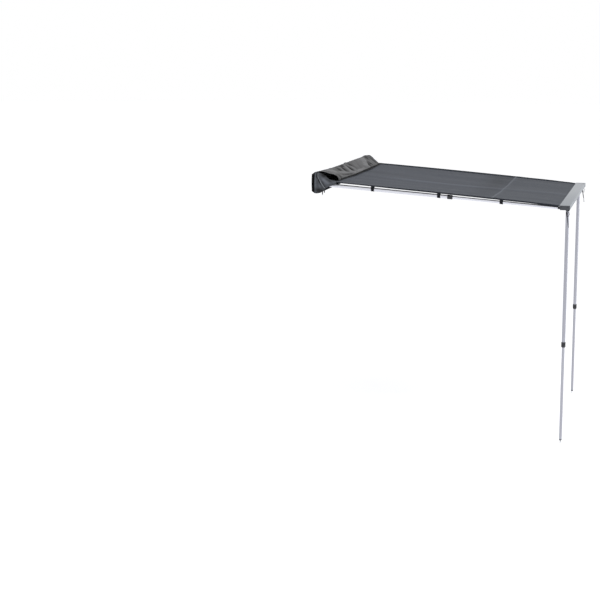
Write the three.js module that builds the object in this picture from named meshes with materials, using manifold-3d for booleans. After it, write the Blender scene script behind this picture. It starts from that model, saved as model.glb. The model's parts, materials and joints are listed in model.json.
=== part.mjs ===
import * as THREE from 'three';
import { mergeVertices } from 'three/addons/utils/BufferGeometryUtils.js';
import Module from 'manifold-3d';

// A roll-out side awning for a vehicle, opened out, in millimetres.
// X runs along the vehicle, -Y points away from it and Z is up.
// The origin is the middle of the backboard's rear face, where the awning is held.

const wasm = await Module();
wasm.setup();

// Driving sizes of the whole awning
const canopyWidth = 2000; // cloth, measured along the vehicle
const clothMargin = 5; // backboard and front bar past the cloth at each end
const reach = 1960; // backboard's rear face to the middle of the front bar
const standHeight = 1990; // ground below the origin
const barDrop = 112; // top of the front bar below the origin
const barTravel = 760; // how far the front bar runs back towards the case
const legTravel = 700; // how far a lower leg tube runs up into the upper one

// Fits shared by all the pieces
const gap = 0.3; // between pieces that touch
const cutOverrun = 5; // how far a cutting tool runs past what it cuts
const clothClearance = 0.8; // between a cloth and the metal under it
const holeClearance = 0.5; // round a bolt's shank
const poleClearance = 1.5; // between two folded poles that lie side by side
const roundSides = 18; // facets round a tube

// Side signs: the left end is at -X, seen from outside
const LEFT = -1;
const RIGHT = 1;
const sideName = (side) => (side === LEFT ? 'left' : 'right');

// Backboard, the aluminium extrusion that everything hangs from
const board = {
  height: 120, depth: 22, wall: 3, lip: 1.8, cornerRadius: 3, web: 5, chamberRadius: 2,
  slotInset: 25, slotLip: 2.2, slotRoom: 1, canopyBelowSlot: 9, coverInset: 6,
};
// Groove for the rope sewn into the edge of a cloth
const keder = { rope: 4.4, mouth: 2.8, clearance: 0.4 };
const kederGroove = keder.rope + 2 * keder.clearance;

// Front bar, an open channel that stores both legs side by side
const bar = { width: 80, height: 32, wall: 2, grooveWall: 1.8, ribs: 3, ribWidth: 1.6, ribDepth: 0.6 };

// Two telescoping tubes of one size serve the rafters and the legs
const tube = { outerRadius: 14, outerWall: 1.5, innerWall: 1.5, bushStep: 1, bushLength: 14 };
const pin = { radius: 4, headStep: 2.5, headHeight: 2.2 };
const knuckle = {
  tongue: 14, eyeRadius: 9, neckWidth: 19, tubeStart: 24, shoulder: 5, plugLength: 30, chamfer: 1.5,
};
const ear = { thickness: 3, radius: 10 };
const collar = {
  wall: 2.5, noseWall: 2, grip: 24, nose: 18, chamfer: 1.5, taper: 5,
  flutes: 10, fluteRadius: 2.4, fluteInset: 4, fluteBite: 1.3, fluteSides: 4,
};
const plate = { thickness: 3, rivetRadius: 3.2, rivetHeight: 1.4, rivetSides: 10 };

// Poles: what is left of each telescope when it is pushed in, and how far its tubes overlap
const endRoom = 11;
const rafter = { endInset: 20, boardRoom: 3, belowCanopy: 26, overlap: 179, tipClearance: 0.6 };
const receiver = { wall: 2.5, setBack: 1.5, tongueHeight: 12, tongueWidth: 16, tongueLength: 16 };
const leg = {
  endInset: 60, pinDrop: 21, overlap: 309, plugLength: 24,
  footHeight: 8, footChamfer: 2, spikeRadius: 4, spikeLength: 22, spikeTaper: 3,
};

// Brackets that fasten the backboard to a roof rack, and their T bolts
const mountBracket = {
  spacing: 1200, width: 60, edge: 15, shelf: 80, thickness: 5, bend: 8,
  slotLength: 30, slotWidth: 9, slotSpacing: 32, slotStart: 30,
};
const tBolt = {
  shankRadius: 4, headLength: 15, headWidth: 14, headHeight: 4.5,
  nutAcross: 13, nutHeight: 6.5, washerRadius: 8, washerHeight: 1.6, threadEnd: 5,
};
const endCap = { thickness: 6, overhang: 1.5, plugDepth: 15, radius: 4, fit: 0.3 };

// Cloth
const cloth = { canopyThickness: 1.2, sag: 11, coverThickness: 1.6, columns: 14, rows: 18 };
const cover = {
  overhang: 41, ridgeHeight: 106, flapReach: 185, flapColumns: 18, flapRows: 13, panelRows: 8,
  leftPull: 210, rightPull: 86, pullShare: 0.28, widensFrom: 16, widensTo: 50,
  panelReach: 62, panelSag: 6.3, endBulge: 14, wrinkle: 2.5,
};
const endReach = { [LEFT]: 187, [RIGHT]: 152 };
const endTipShares = { [LEFT]: { top: 0.34, foot: 0.2 }, [RIGHT]: { top: 0.17, foot: 0.02 } };
// Sections of the top flap: where across it they lie, their shares of its reach and of the ridge's
// height, and their points from the ridge on, as shares of the reach and of the height over the canopy
const flapShares = [
  { across: 0, reach: 0.84, ridge: 1,
    points: [[0.21, 1], [0.56, 0.94], [0.79, 0.77], [0.95, 0.62], [1.01, 0.39], [1, 0]] },
  { across: 0.1, reach: 0.89, ridge: 0.96,
    points: [[0.22, 1], [0.44, 0.93], [0.66, 0.76], [0.83, 0.54], [0.95, 0.25], [1, 0]] },
  { across: 0.26, reach: 0.95, ridge: 0.9,
    points: [[0.22, 1], [0.38, 0.87], [0.57, 0.61], [0.75, 0.32], [0.89, 0.1], [1, 0]] },
  { across: 0.6, reach: 1, ridge: 0.86,
    points: [[0.23, 1], [0.38, 0.86], [0.56, 0.58], [0.74, 0.28], [0.88, 0.09], [1, 0]] },
  { across: 1, reach: 0.91, ridge: 0.81,
    points: [[0.33, 1], [0.51, 0.8], [0.65, 0.55], [0.78, 0.3], [0.9, 0.09], [1, 0]] },
];
const riseShare = { outward: 0.06, up: 0.55 }; // the flap's way from its groove up to the ridge
const strap = { width: 25, thickness: 1.5, clearance: 0.5, arcSteps: 10, reachShares: [0.24, 0.513, 0.767] };
const slider = {
  length: 16, width: 9, height: 7, pullLength: 26, pullWidth: 7, pullThickness: 1.8, pullEye: 2.4,
};

// Guy cords, short lengths that hang from the front bar's end caps
const guy = {
  radius: 1.5, sides: 8, steps: 18, offset: 18, knotRadius: 3.2, lugRadius: 6, lugDepth: 7,
  runnerLength: 26, runnerWidth: 10, runnerThickness: 6,
};
const runnerShares = { [LEFT]: 0.78, [RIGHT]: 0.5 }; // how far down its cord each runner sits

// Finishes
const finish = (color, roughness, metalness = 0) =>
  new THREE.MeshStandardMaterial({ color, roughness, metalness });
const finishes = {
  extrusion: () => finish(0xa9aeb4, 0.42, 1),
  tube: () => finish(0xc3c3ce, 0.36, 1),
  moulding: () => finish(0x2b2d30, 0.6),
  steel: () => finish(0x8d9196, 0.4, 1),
  bracket: () => finish(0x26282b, 0.5),
  canopy: () => finish(0x565b63, 0.85),
  cover: () => finish(0x5d5e60, 0.8),
  webbing: () => finish(0x202226, 0.9),
  cord: () => finish(0x33363a, 0.9),
};

// A copy of a geometry with shared corners, no empty triangles and faces that point out
function closed(geometry) {
  const bare = geometry.clone();
  bare.deleteAttribute('normal');
  bare.deleteAttribute('uv');
  const merged = mergeVertices(bare);
  const corners = merged.attributes.position;
  const kept = [];
  let volume = 0;
  const [a, b, c] = [new THREE.Vector3(), new THREE.Vector3(), new THREE.Vector3()];
  for (let i = 0; i < merged.index.count; i += 3) {
    const [p, q, r] = [0, 1, 2].map((k) => merged.index.getX(i + k));
    if (p === q || q === r || r === p) continue;
    a.fromBufferAttribute(corners, p);
    b.fromBufferAttribute(corners, q);
    c.fromBufferAttribute(corners, r);
    volume += a.dot(b.cross(c));
    kept.push(p, q, r);
  }
  if (volume < 0) kept.reverse();
  merged.setIndex(new THREE.BufferAttribute(new Uint32Array(kept), 1));
  return merged;
}

function solid(geometry) {
  const mesh = closed(geometry);
  return new wasm.Manifold(
    new wasm.Mesh({ numProp: 3, vertProperties: mesh.attributes.position.array, triVerts: mesh.index.array }),
  );
}

function geometryOf(manifold) {
  const { vertProperties, triVerts } = manifold.getMesh();
  const geometry = new THREE.BufferGeometry();
  geometry.setAttribute('position', new THREE.BufferAttribute(vertProperties, 3));
  geometry.setIndex(new THREE.BufferAttribute(triVerts, 1));
  return geometry;
}

function join(first, ...others) {
  return geometryOf(others.reduce((whole, next) => whole.add(solid(next)), solid(first)));
}

function cut(first, ...others) {
  return geometryOf(others.reduce((whole, next) => whole.subtract(solid(next)), solid(first)));
}

const moved = (geometry, x, y, z) => geometry.clone().translate(x, y, z);

// A polygon outline as a shape
function outline(points) {
  return new THREE.Shape(points.map(([x, y]) => new THREE.Vector2(x, y)));
}

// A rectangle between two corners with rounded corners
function roundedRectangle(left, bottom, right, top, radius) {
  const shape = new THREE.Shape();
  shape.moveTo(left + radius, bottom);
  shape.lineTo(right - radius, bottom);
  shape.absarc(right - radius, bottom + radius, radius, -Math.PI / 2, 0);
  shape.lineTo(right, top - radius);
  shape.absarc(right - radius, top - radius, radius, 0, Math.PI / 2);
  shape.lineTo(left + radius, top);
  shape.absarc(left + radius, top - radius, radius, Math.PI / 2, Math.PI);
  shape.lineTo(left, bottom + radius);
  shape.absarc(left + radius, bottom + radius, radius, Math.PI, 1.5 * Math.PI);
  return shape;
}

const extruded = (shape, length, curveSegments = 3) =>
  new THREE.ExtrudeGeometry(shape, { depth: length, bevelEnabled: false, curveSegments })
    .translate(0, 0, -length / 2);
// A section drawn in (y, z) and run along X, one drawn in (z, x) and run along Y, both centred
const alongX = (shape, length, segments) =>
  extruded(shape, length, segments).applyMatrix4(new THREE.Matrix4().set(
    0, 0, 1, 0,
    1, 0, 0, 0,
    0, 1, 0, 0,
    0, 0, 0, 1,
  ));
const alongY = (shape, length, segments) =>
  extruded(shape, length, segments).applyMatrix4(new THREE.Matrix4().set(
    0, 1, 0, 0,
    0, 0, 1, 0,
    1, 0, 0, 0,
    0, 0, 0, 1,
  ));
// A section drawn in (x, y) and run along Z, centred
const alongZ = extruded;

const box = (width, depth, height, x, y, z) =>
  new THREE.BoxGeometry(width, depth, height).translate(x, y, z);

// A revolved piece about Y, from [radius, y] pairs
const turned = (profile, sides = roundSides) =>
  new THREE.LatheGeometry(profile.map(([radius, y]) => new THREE.Vector2(radius, y)), sides);
const rodAlongY = (radius, from, to, sides = roundSides) =>
  new THREE.CylinderGeometry(radius, radius, Math.abs(to - from), sides).translate(0, (from + to) / 2, 0);
const rodAlongZ = (radius, length, sides = roundSides) =>
  new THREE.CylinderGeometry(radius, radius, length, sides).rotateX(Math.PI / 2);
// The radius at the corners of a faceted bore that clears a round of this radius
const boreOver = (radius) => (radius + gap) / Math.cos(Math.PI / roundSides);

// A cloth of some thickness over a surface, given at stations across and along it
function sheet(pointAt, across, along, thicknessAt) {
  const nudge = 1e-4;
  const positions = [];
  for (const face of [1, -1]) {
    for (const v of along) {
      for (const u of across) {
        const toU = pointAt(u + nudge, v).sub(pointAt(u - nudge, v));
        const toV = pointAt(u, v + nudge).sub(pointAt(u, v - nudge));
        const normal = toU.cross(toV).normalize();
        const point = pointAt(u, v).addScaledVector(normal, (face * thicknessAt(u, v)) / 2);
        positions.push(point.x, point.y, point.z);
      }
    }
  }
  const [columns, rows] = [across.length, along.length];
  const under = columns * rows;
  const index = [];
  const quad = (a, b, c, d) => index.push(a, b, c, a, c, d);
  for (let j = 0; j < rows - 1; j += 1) {
    for (let i = 0; i < columns - 1; i += 1) {
      const [a, b] = [j * columns + i, j * columns + i + 1];
      const [c, d] = [a + columns, b + columns];
      quad(a, b, d, c);
      quad(a + under, c + under, d + under, b + under);
    }
  }
  for (let i = 0; i < columns - 1; i += 1) {
    const last = (rows - 1) * columns;
    quad(i + 1, i, i + under, i + 1 + under);
    quad(last + i, last + i + 1, last + i + 1 + under, last + i + under);
  }
  for (let j = 0; j < rows - 1; j += 1) {
    const [a, c] = [j * columns, (j + 1) * columns];
    quad(a, c, c + under, a + under);
    quad(c + columns - 1, a + columns - 1, a + columns - 1 + under, c + columns - 1 + under);
  }
  const geometry = new THREE.BufferGeometry();
  geometry.setAttribute('position', new THREE.Float32BufferAttribute(positions, 3));
  geometry.setIndex(index);
  return geometry;
}

const evenShares = (count) => Array.from({ length: count + 1 }, (_, i) => i / count);

function named(name, geometry, material) {
  const mesh = new THREE.Mesh(closed(geometry), material());
  mesh.name = name;
  return mesh;
}

// Sizes that follow from the ones above
const boardLength = canopyWidth + 2 * clothMargin;
const barLength = boardLength;
const flatShare = Math.cos(Math.PI / roundSides);
const tubeBore = tube.outerRadius - tube.outerWall;
const bushRadius = tubeBore * flatShare - gap;
const innerRadius = bushRadius - tube.bushStep;
const innerBore = innerRadius - tube.innerWall;
const collarRadius = boreOver(tube.outerRadius) + collar.wall;
const noseRadius = boreOver(innerRadius) + collar.noseWall;
const pinHead = pin.radius + pin.headStep;
const poleSpacing = collarRadius + tube.outerRadius + poleClearance;
const pushedIn = knuckle.tubeStart + knuckle.plugLength + endRoom;
const slotHeight = board.height / 2 - board.slotInset;
const slotMouth = 2 * (tBolt.shankRadius + holeClearance);
const slotHead = tBolt.headWidth + 2 * board.slotRoom;
const slotDepth = board.slotLip + tBolt.headHeight + board.slotRoom;
const canopyGroove = slotHeight - board.canopyBelowSlot; // height of the canopy's groove
const chamberTop = canopyGroove - kederGroove / 2 - board.web;
const chamberBottom = -slotHeight + slotHead / 2 + board.web;

// Where the pieces meet
const barInnerEdge = reach - bar.width / 2; // where the cloth enters the bar
const grooveDepth = kederGroove + bar.grooveWall;
const barWall = barInnerEdge + grooveDepth; // inboard face of the channel's inner wall
const channelInner = barWall + bar.wall;
const channelOuter = reach + bar.width / 2 - bar.wall;
const channelMiddle = (channelInner + channelOuter) / 2;
const rafterX = canopyWidth / 2 - rafter.endInset;
const legX = barLength / 2 - leg.endInset;
const receiverDrop = (bar.wall + grooveDepth + bar.height) / 2;
const leftPivot = board.depth + collarRadius + rafter.boardRoom;
const pivotReach = { [LEFT]: leftPivot, [RIGHT]: leftPivot + poleSpacing };
const pivotHeight = canopyGroove - rafter.belowCanopy;
const slope = Math.atan2(pivotHeight + barDrop + receiverDrop, barWall - leftPivot);
const rafterHeight = (outward) => pivotHeight - (outward - leftPivot) * Math.tan(slope);
const rafterTubeEnd = pushedIn + barTravel + poleSpacing + rafter.overlap;
const legTubeEnd = pushedIn + legTravel + leg.overlap;
const canopyEnd = -barDrop - bar.wall - kederGroove / 2;
const canopyFall = (canopyGroove - canopyEnd) / (barInnerEdge - board.depth);
const canopyHeight = (outward) => {
  const free = Math.min(Math.max(outward, board.depth), barInnerEdge);
  return canopyGroove - (free - board.depth) * canopyFall;
};

// Groove cut for a cloth's rope: a pocket of square section with a narrow mouth, opening towards +y
function kederCut(mouthDepth) {
  return [
    [-keder.mouth / 2, cutOverrun],
    [-keder.mouth / 2, -mouthDepth],
    [-kederGroove / 2, -mouthDepth],
    [-kederGroove / 2, -mouthDepth - kederGroove],
    [kederGroove / 2, -mouthDepth - kederGroove],
    [kederGroove / 2, -mouthDepth],
    [keder.mouth / 2, -mouthDepth],
    [keder.mouth / 2, cutOverrun],
  ];
}

// T slot cut, opening towards +y, for the heads of the T bolts
function tSlotCut() {
  const [mouth, head] = [slotMouth / 2, slotHead / 2];
  return [
    [-mouth, cutOverrun], [-mouth, -board.slotLip], [-head, -board.slotLip], [-head, -slotDepth],
    [head, -slotDepth], [head, -board.slotLip], [mouth, -board.slotLip], [mouth, cutOverrun],
  ];
}

// Backboard: a hollow extrusion with two T slots behind and a rope groove for each cloth
function backboard() {
  const half = board.height / 2;
  const section = roundedRectangle(-board.depth, -half, 0, half, board.cornerRadius);
  section.holes.push(roundedRectangle(
    board.wall - board.depth, chamberBottom, -board.wall, chamberTop, board.chamberRadius,
  ));
  const long = boardLength + 2 * cutOverrun;
  const cutter = (points, place) => alongX(outline(points.map(place)), long);
  const rear = (height) => ([across, deep]) => [deep, height + across];
  const front = (height) => ([across, deep]) => [-board.depth - deep, height + across];
  const above = ([across, deep]) => [across - board.coverInset, half + deep];
  const below = ([across, deep]) => [across - board.coverInset, -half - deep];
  return cut(
    alongX(section, boardLength),
    cutter(tSlotCut(), rear(slotHeight)),
    cutter(tSlotCut(), rear(-slotHeight)),
    cutter(kederCut(board.lip), front(canopyGroove)),
    cutter(kederCut(board.lip), above),
    cutter(kederCut(board.lip), below),
  );
}

// Moulded cap that closes one end of the backboard, with a plug in its hollow
function caseCap(side) {
  const half = board.height / 2 + endCap.overhang;
  const [front, rear] = [-board.depth - endCap.overhang, endCap.overhang / 2];
  const face = roundedRectangle(front, -half, rear, half, endCap.radius);
  const plug = roundedRectangle(
    board.wall - board.depth + endCap.fit, chamberBottom + endCap.fit,
    -board.wall - endCap.fit, chamberTop - endCap.fit, board.chamberRadius,
  );
  const start = boardLength / 2 + gap;
  const cap = moved(alongX(face, endCap.thickness), side * (start + endCap.thickness / 2), 0, 0);
  const inward = moved(
    alongX(plug, endCap.plugDepth + endCap.thickness),
    side * (start + (endCap.thickness - endCap.plugDepth) / 2), 0, 0,
  );
  return join(cap, inward);
}

// Angle bracket: an upright leg on the backboard's rear face and a slotted shelf under the rack
function rackBracket() {
  const half = slotHeight + mountBracket.edge;
  const [thick, inner] = [mountBracket.thickness, mountBracket.bend - mountBracket.thickness];
  const section = new THREE.Shape();
  section.moveTo(0, -half);
  section.lineTo(thick, -half);
  section.lineTo(thick, half - mountBracket.bend);
  section.absarc(mountBracket.bend, half - mountBracket.bend, inner, Math.PI, Math.PI / 2, true);
  section.lineTo(mountBracket.shelf, half - thick);
  section.lineTo(mountBracket.shelf, half);
  section.lineTo(mountBracket.bend, half);
  section.absarc(mountBracket.bend, half - mountBracket.bend, mountBracket.bend, Math.PI / 2, Math.PI);
  const hole = rodAlongY(tBolt.shankRadius + holeClearance, -cutOverrun, thick + cutOverrun);
  const [slotHalf, slotRound] = [mountBracket.slotLength / 2, mountBracket.slotWidth / 2];
  const slot = alongZ(
    roundedRectangle(-slotRound, -slotHalf, slotRound, slotHalf, slotRound), thick + 2 * cutOverrun,
  );
  const slotY = mountBracket.slotStart + slotHalf;
  return cut(
    moved(alongX(section, mountBracket.width, 4), 0, gap, 0),
    moved(hole, 0, gap, slotHeight),
    moved(hole, 0, gap, -slotHeight),
    moved(slot, -mountBracket.slotSpacing / 2, slotY, half - thick / 2),
    moved(slot, mountBracket.slotSpacing / 2, slotY, half - thick / 2),
  );
}

// T bolt in the slot with its washer and nut run down on the bracket
function slotBolt() {
  const seat = gap + mountBracket.thickness + gap;
  const washerTop = seat + tBolt.washerHeight;
  const nutTop = washerTop + tBolt.nutHeight;
  const head = box(
    tBolt.headLength, tBolt.headHeight, tBolt.headWidth,
    0, -board.slotLip - gap - tBolt.headHeight / 2, 0,
  );
  const nutRadius = tBolt.nutAcross / 2 / Math.cos(Math.PI / 6);
  return join(
    head,
    rodAlongY(tBolt.shankRadius, -board.slotLip - gap - tBolt.headHeight / 2, nutTop + tBolt.threadEnd, 12),
    rodAlongY(tBolt.washerRadius, seat, washerTop, 16),
    rodAlongY(nutRadius, washerTop, nutTop, 6),
  );
}

// Pin with a round head at each end, along Z
function hingePin() {
  const half = knuckle.tongue / 2 + gap + ear.thickness + gap;
  const headEnd = half + pin.headHeight;
  return turned([
    [0, -headEnd], [pinHead, -headEnd + pin.headHeight / 2], [pinHead, -half], [pin.radius, -half],
    [pin.radius, half], [pinHead, half], [pinHead, headEnd - pin.headHeight / 2], [0, headEnd],
  ], 16).rotateX(Math.PI / 2);
}

// Two ears about a pin along Z, running back towards +Y for a given distance
function clevisEars(depth) {
  const shape = new THREE.Shape();
  shape.moveTo(-ear.radius, depth);
  shape.absarc(0, 0, ear.radius, Math.PI, 2 * Math.PI);
  shape.lineTo(ear.radius, depth);
  const blank = alongZ(shape, ear.thickness, 6);
  const middle = knuckle.tongue / 2 + gap + ear.thickness / 2;
  const holes = rodAlongZ(boreOver(pin.radius), 2 * (middle + ear.thickness), 16);
  return [moved(blank, 0, 0, middle), moved(blank, 0, 0, -middle)].map((one) => cut(one, holes));
}

// Domed rivet head along +Y from its seat
const rivet = () => turned([
  [0, 0], [plate.rivetRadius, 0], [plate.rivetRadius * 0.8, plate.rivetHeight * 0.7], [0, plate.rivetHeight],
], plate.rivetSides);

// Clevis on the backboard's face: two tipped ears on a riveted foot plate
function rafterBracket(outward) {
  const faceY = outward - board.depth - gap;
  const halfWidth = ear.radius + 2 * plate.rivetRadius + plate.thickness;
  const halfHeight = ear.radius + knuckle.tongue;
  const foot = box(
    2 * halfWidth, plate.thickness, 2 * halfHeight,
    0, faceY - plate.thickness / 2, 0,
  );
  const behind = box(
    4 * halfWidth, board.depth, 4 * halfHeight,
    0, faceY + board.depth / 2, 0,
  );
  const ears = clevisEars(faceY + plate.rivetHeight).map((one) => cut(one.rotateX(slope), behind));
  const heads = [];
  for (const x of [-1, 1]) {
    for (const z of [-1, 1]) {
      heads.push(moved(
        rivet().rotateX(Math.PI), x * (halfWidth - 1.4 * plate.rivetRadius),
        faceY - plate.thickness, z * (halfHeight - 1.6 * plate.rivetRadius),
      ));
    }
  }
  return join(foot, ...ears, ...heads);
}

// Clevis inside the bar's channel: two upright ears under a riveted foot plate
function legBracket() {
  const top = leg.pinDrop - bar.wall - gap;
  const half = [ear.radius + 3 * plate.rivetRadius, knuckle.tongue / 2 + gap + ear.thickness];
  const foot = box(2 * half[0], plate.thickness, 2 * half[1], 0, top - plate.thickness / 2, 0);
  const ears = clevisEars(top - plate.thickness / 2);
  const heads = [-1, 1].map((x) => moved(
    rivet().rotateX(Math.PI), x * (half[0] - 1.3 * plate.rivetRadius), top - plate.thickness, 0,
  ));
  return join(foot, ...ears, ...heads);
}

// Knuckle: an eye on the pin, a neck, a shoulder on the tube's end and a plug inside it
function poleKnuckle() {
  const start = knuckle.tubeStart;
  const shape = new THREE.Shape();
  const half = knuckle.neckWidth / 2;
  shape.moveTo(half, -start + knuckle.shoulder / 2);
  shape.lineTo(knuckle.eyeRadius, 0);
  shape.absarc(0, 0, knuckle.eyeRadius, 0, Math.PI);
  shape.lineTo(-half, -start + knuckle.shoulder / 2);
  const neck = cut(
    alongZ(shape, knuckle.tongue, 8),
    rodAlongZ(boreOver(pin.radius), knuckle.tongue + 2 * cutOverrun, 16),
  );
  const plug = turned([
    [0, -start + knuckle.shoulder], [tube.outerRadius - knuckle.chamfer, -start + knuckle.shoulder],
    [tube.outerRadius, -start + knuckle.shoulder - knuckle.chamfer], [tube.outerRadius, -start + gap],
    [bushRadius, -start + gap], [bushRadius, -start - knuckle.plugLength + knuckle.chamfer],
    [bushRadius - knuckle.chamfer, -start - knuckle.plugLength], [0, -start - knuckle.plugLength],
  ]);
  return join(neck, plug);
}

function outerTube(end) {
  const [from, to] = [-knuckle.tubeStart, -end];
  return turned([
    [tubeBore, from], [tubeBore, to], [tube.outerRadius, to], [tube.outerRadius, from], [tubeBore, from],
  ]);
}

// Inner tube with a guide bush swaged on its inboard end
function innerTube(start, end) {
  const [from, to, bushEnd] = [-start, -end, -start - tube.bushLength];
  return turned([
    [innerBore, from], [innerBore, to], [innerRadius, to], [innerRadius, bushEnd],
    [bushRadius, bushEnd], [bushRadius, from], [innerBore, from],
  ]);
}

// Twist lock: a fluted grip on the outer tube's end that closes on the inner tube
function lockCollar(end) {
  const [big, small] = [boreOver(tube.outerRadius), boreOver(innerRadius)];
  const [top, bottom, step] = [collar.grip - end, -end - collar.nose, -end - gap];
  const body = turned([
    [big, top], [collarRadius - collar.chamfer, top], [collarRadius, top - collar.chamfer],
    [collarRadius, bottom + collar.taper], [noseRadius, bottom], [small, bottom],
    [small, step], [big, step], [big, top],
  ], 2 * collar.flutes);
  const [fluteTop, fluteBottom] = [top - collar.fluteInset, bottom + collar.taper + collar.fluteInset];
  const out = collarRadius + collar.fluteRadius - collar.fluteBite;
  const flutes = Array.from({ length: collar.flutes }, (_, i) => {
    const turn = ((i + 0.5) * 2 * Math.PI) / collar.flutes;
    const flute = rodAlongY(collar.fluteRadius, fluteTop, fluteBottom, collar.fluteSides);
    return moved(flute, out * Math.sin(turn), 0, out * Math.cos(turn));
  });
  return cut(body, ...flutes);
}

// Tip of a rafter: a plug in the inner tube, a flange and a flat tongue for the receiver
function rafterTip(end) {
  const plugRadius = innerBore * flatShare - gap;
  const flangeEnd = -end - receiver.wall;
  const plug = turned([
    [0, -end + leg.plugLength], [plugRadius, -end + leg.plugLength], [plugRadius, -end - gap],
    [innerRadius, -end - gap], [innerRadius, flangeEnd - gap], [0, flangeEnd - gap],
  ]);
  const half = receiver.tongueWidth / 2;
  const length = receiver.tongueLength - receiver.wall;
  const tongue = alongZ(
    roundedRectangle(-half, flangeEnd - length, half, flangeEnd, receiver.wall), receiver.tongueHeight,
  );
  return join(plug, tongue);
}

// Foot of a leg: a plug in the lower tube, a flange and a spike that ends on the ground
function legFoot(end) {
  const plugRadius = innerBore * flatShare - gap;
  const base = -end - leg.footHeight;
  const tip = base - leg.spikeLength;
  return turned([
    [0, -end + leg.plugLength], [plugRadius, -end + leg.plugLength], [plugRadius, -end - gap],
    [innerRadius, -end - gap], [innerRadius, base + leg.footChamfer],
    [innerRadius - leg.footChamfer, base], [leg.spikeRadius, base],
    [leg.spikeRadius, tip + leg.spikeTaper], [0, tip],
  ], 16);
}

// Pole of two telescoping tubes with its pin at the origin, running along -Y
function pole(prefix, names, lengths, endPiece) {
  const group = new THREE.Group();
  group.add(
    named(`${prefix}_knuckle`, poleKnuckle(), finishes.moulding),
    named(`${prefix}_${names.outer}`, outerTube(lengths.outerEnd), finishes.tube),
    named(`${prefix}_lock_collar`, lockCollar(lengths.outerEnd), finishes.moulding),
    named(`${prefix}_${names.inner}`, innerTube(lengths.innerStart, lengths.innerEnd), finishes.tube),
    named(`${prefix}_${names.end}`, endPiece(lengths.innerEnd), finishes.moulding),
  );
  return group;
}

// Rafter on its backboard bracket, sloping down to the front bar
function rafterAssembly(side) {
  const outward = pivotReach[side];
  const wallDistance = (barWall - outward) / Math.cos(slope);
  const tipRoom = gap + receiver.wall + rafter.tipClearance;
  const lengths = {
    outerEnd: rafterTubeEnd,
    innerStart: pushedIn + barTravel + (pivotReach[RIGHT] - outward),
    innerEnd: wallDistance - tipRoom - receiver.tongueLength,
  };
  const prefix = `${sideName(side)}_rafter`;
  const names = { outer: 'outer_tube', inner: 'inner_tube', end: 'tip' };
  const tipped = pole(prefix, names, lengths, rafterTip);
  tipped.add(named(`${prefix}_pin`, hingePin(), finishes.steel));
  tipped.rotation.x = slope;
  const group = new THREE.Group();
  group.position.set(side * rafterX, -outward, rafterHeight(outward));
  group.add(tipped, named(`${prefix}_bracket`, rafterBracket(outward), finishes.bracket));
  return group;
}

// Leg hung in its own lane of the bar's channel: the left lane is the outer one
function legAssembly(side) {
  const pinHeight = standHeight - barDrop - leg.pinDrop;
  const innerEnd = pinHeight - leg.spikeLength - leg.footHeight;
  const lengths = { outerEnd: legTubeEnd, innerStart: pushedIn + legTravel, innerEnd };
  const prefix = `${sideName(side)}_leg`;
  const names = { outer: 'upper_tube', inner: 'lower_tube', end: 'foot' };
  const group = pole(prefix, names, lengths, legFoot);
  group.add(
    named(`${prefix}_pin`, hingePin(), finishes.steel),
    named(`${prefix}_bracket`, legBracket(), finishes.bracket),
  );
  group.position.set(side * legX, -channelMiddle + (side * poleSpacing) / 2, -barDrop - leg.pinDrop);
  group.rotation.x = Math.PI / 2;
  return group;
}

// Front bar's section: a channel open below, with a rope groove along its inboard top edge
function barSection(outer = 0) {
  const [inside, outside] = [bar.width / 2, -bar.width / 2];
  const wallAt = reach - barWall;
  const grooveBottom = -bar.wall - kederGroove - bar.grooveWall;
  const points = [
    [outside - outer, outer], [inside + outer, outer], [inside + outer, grooveBottom - outer],
    [wallAt + outer, grooveBottom - outer], [wallAt + outer, -bar.height - outer],
  ];
  if (outer > 0) return outline([...points, [outside - outer, -bar.height - outer]]);
  points.push(
    [wallAt - bar.wall, -bar.height], [wallAt - bar.wall, -bar.wall],
    [outside + bar.wall, -bar.wall], [outside + bar.wall, -bar.height], [outside, -bar.height],
  );
  return outline(points);
}

// Front bar extrusion with its rope groove and shallow lines along its outer face
function frontBar() {
  const long = barLength + 2 * cutOverrun;
  const groove = kederCut(bar.grooveWall).map(([across, deep]) => [
    bar.width / 2 + deep, -bar.wall - kederGroove / 2 + across,
  ]);
  const lines = evenShares(bar.ribs + 1).slice(1, -1).map((share) => box(
    long, 2 * bar.ribDepth, bar.ribWidth, 0, -bar.width / 2, -share * bar.height,
  ));
  return cut(alongX(barSection(), barLength), alongX(outline(groove), long), ...lines);
}

// Moulded cap on one end of the front bar, with its plug in the channel and a lug for the guy cord
function barCap(side) {
  const start = barLength / 2 + gap;
  const face = moved(
    alongX(barSection(endCap.overhang), endCap.thickness), side * (start + endCap.thickness / 2), 0, 0,
  );
  const depth = endCap.plugDepth + endCap.thickness;
  const [nearWall, farWall] = [reach - channelInner - endCap.fit, reach - channelOuter + endCap.fit];
  const plug = box(
    depth, nearWall - farWall, bar.height - bar.wall - endCap.fit,
    side * (start + (endCap.thickness - endCap.plugDepth) / 2), (nearWall + farWall) / 2,
    (-bar.height - bar.wall - endCap.fit) / 2,
  );
  const lugZ = -bar.height - endCap.overhang;
  const lug = box(
    endCap.thickness, 2 * guy.lugRadius, guy.lugDepth,
    side * (start + endCap.thickness / 2), -guy.offset, lugZ - guy.lugDepth / 2,
  );
  return join(face, plug, lug);
}

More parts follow.
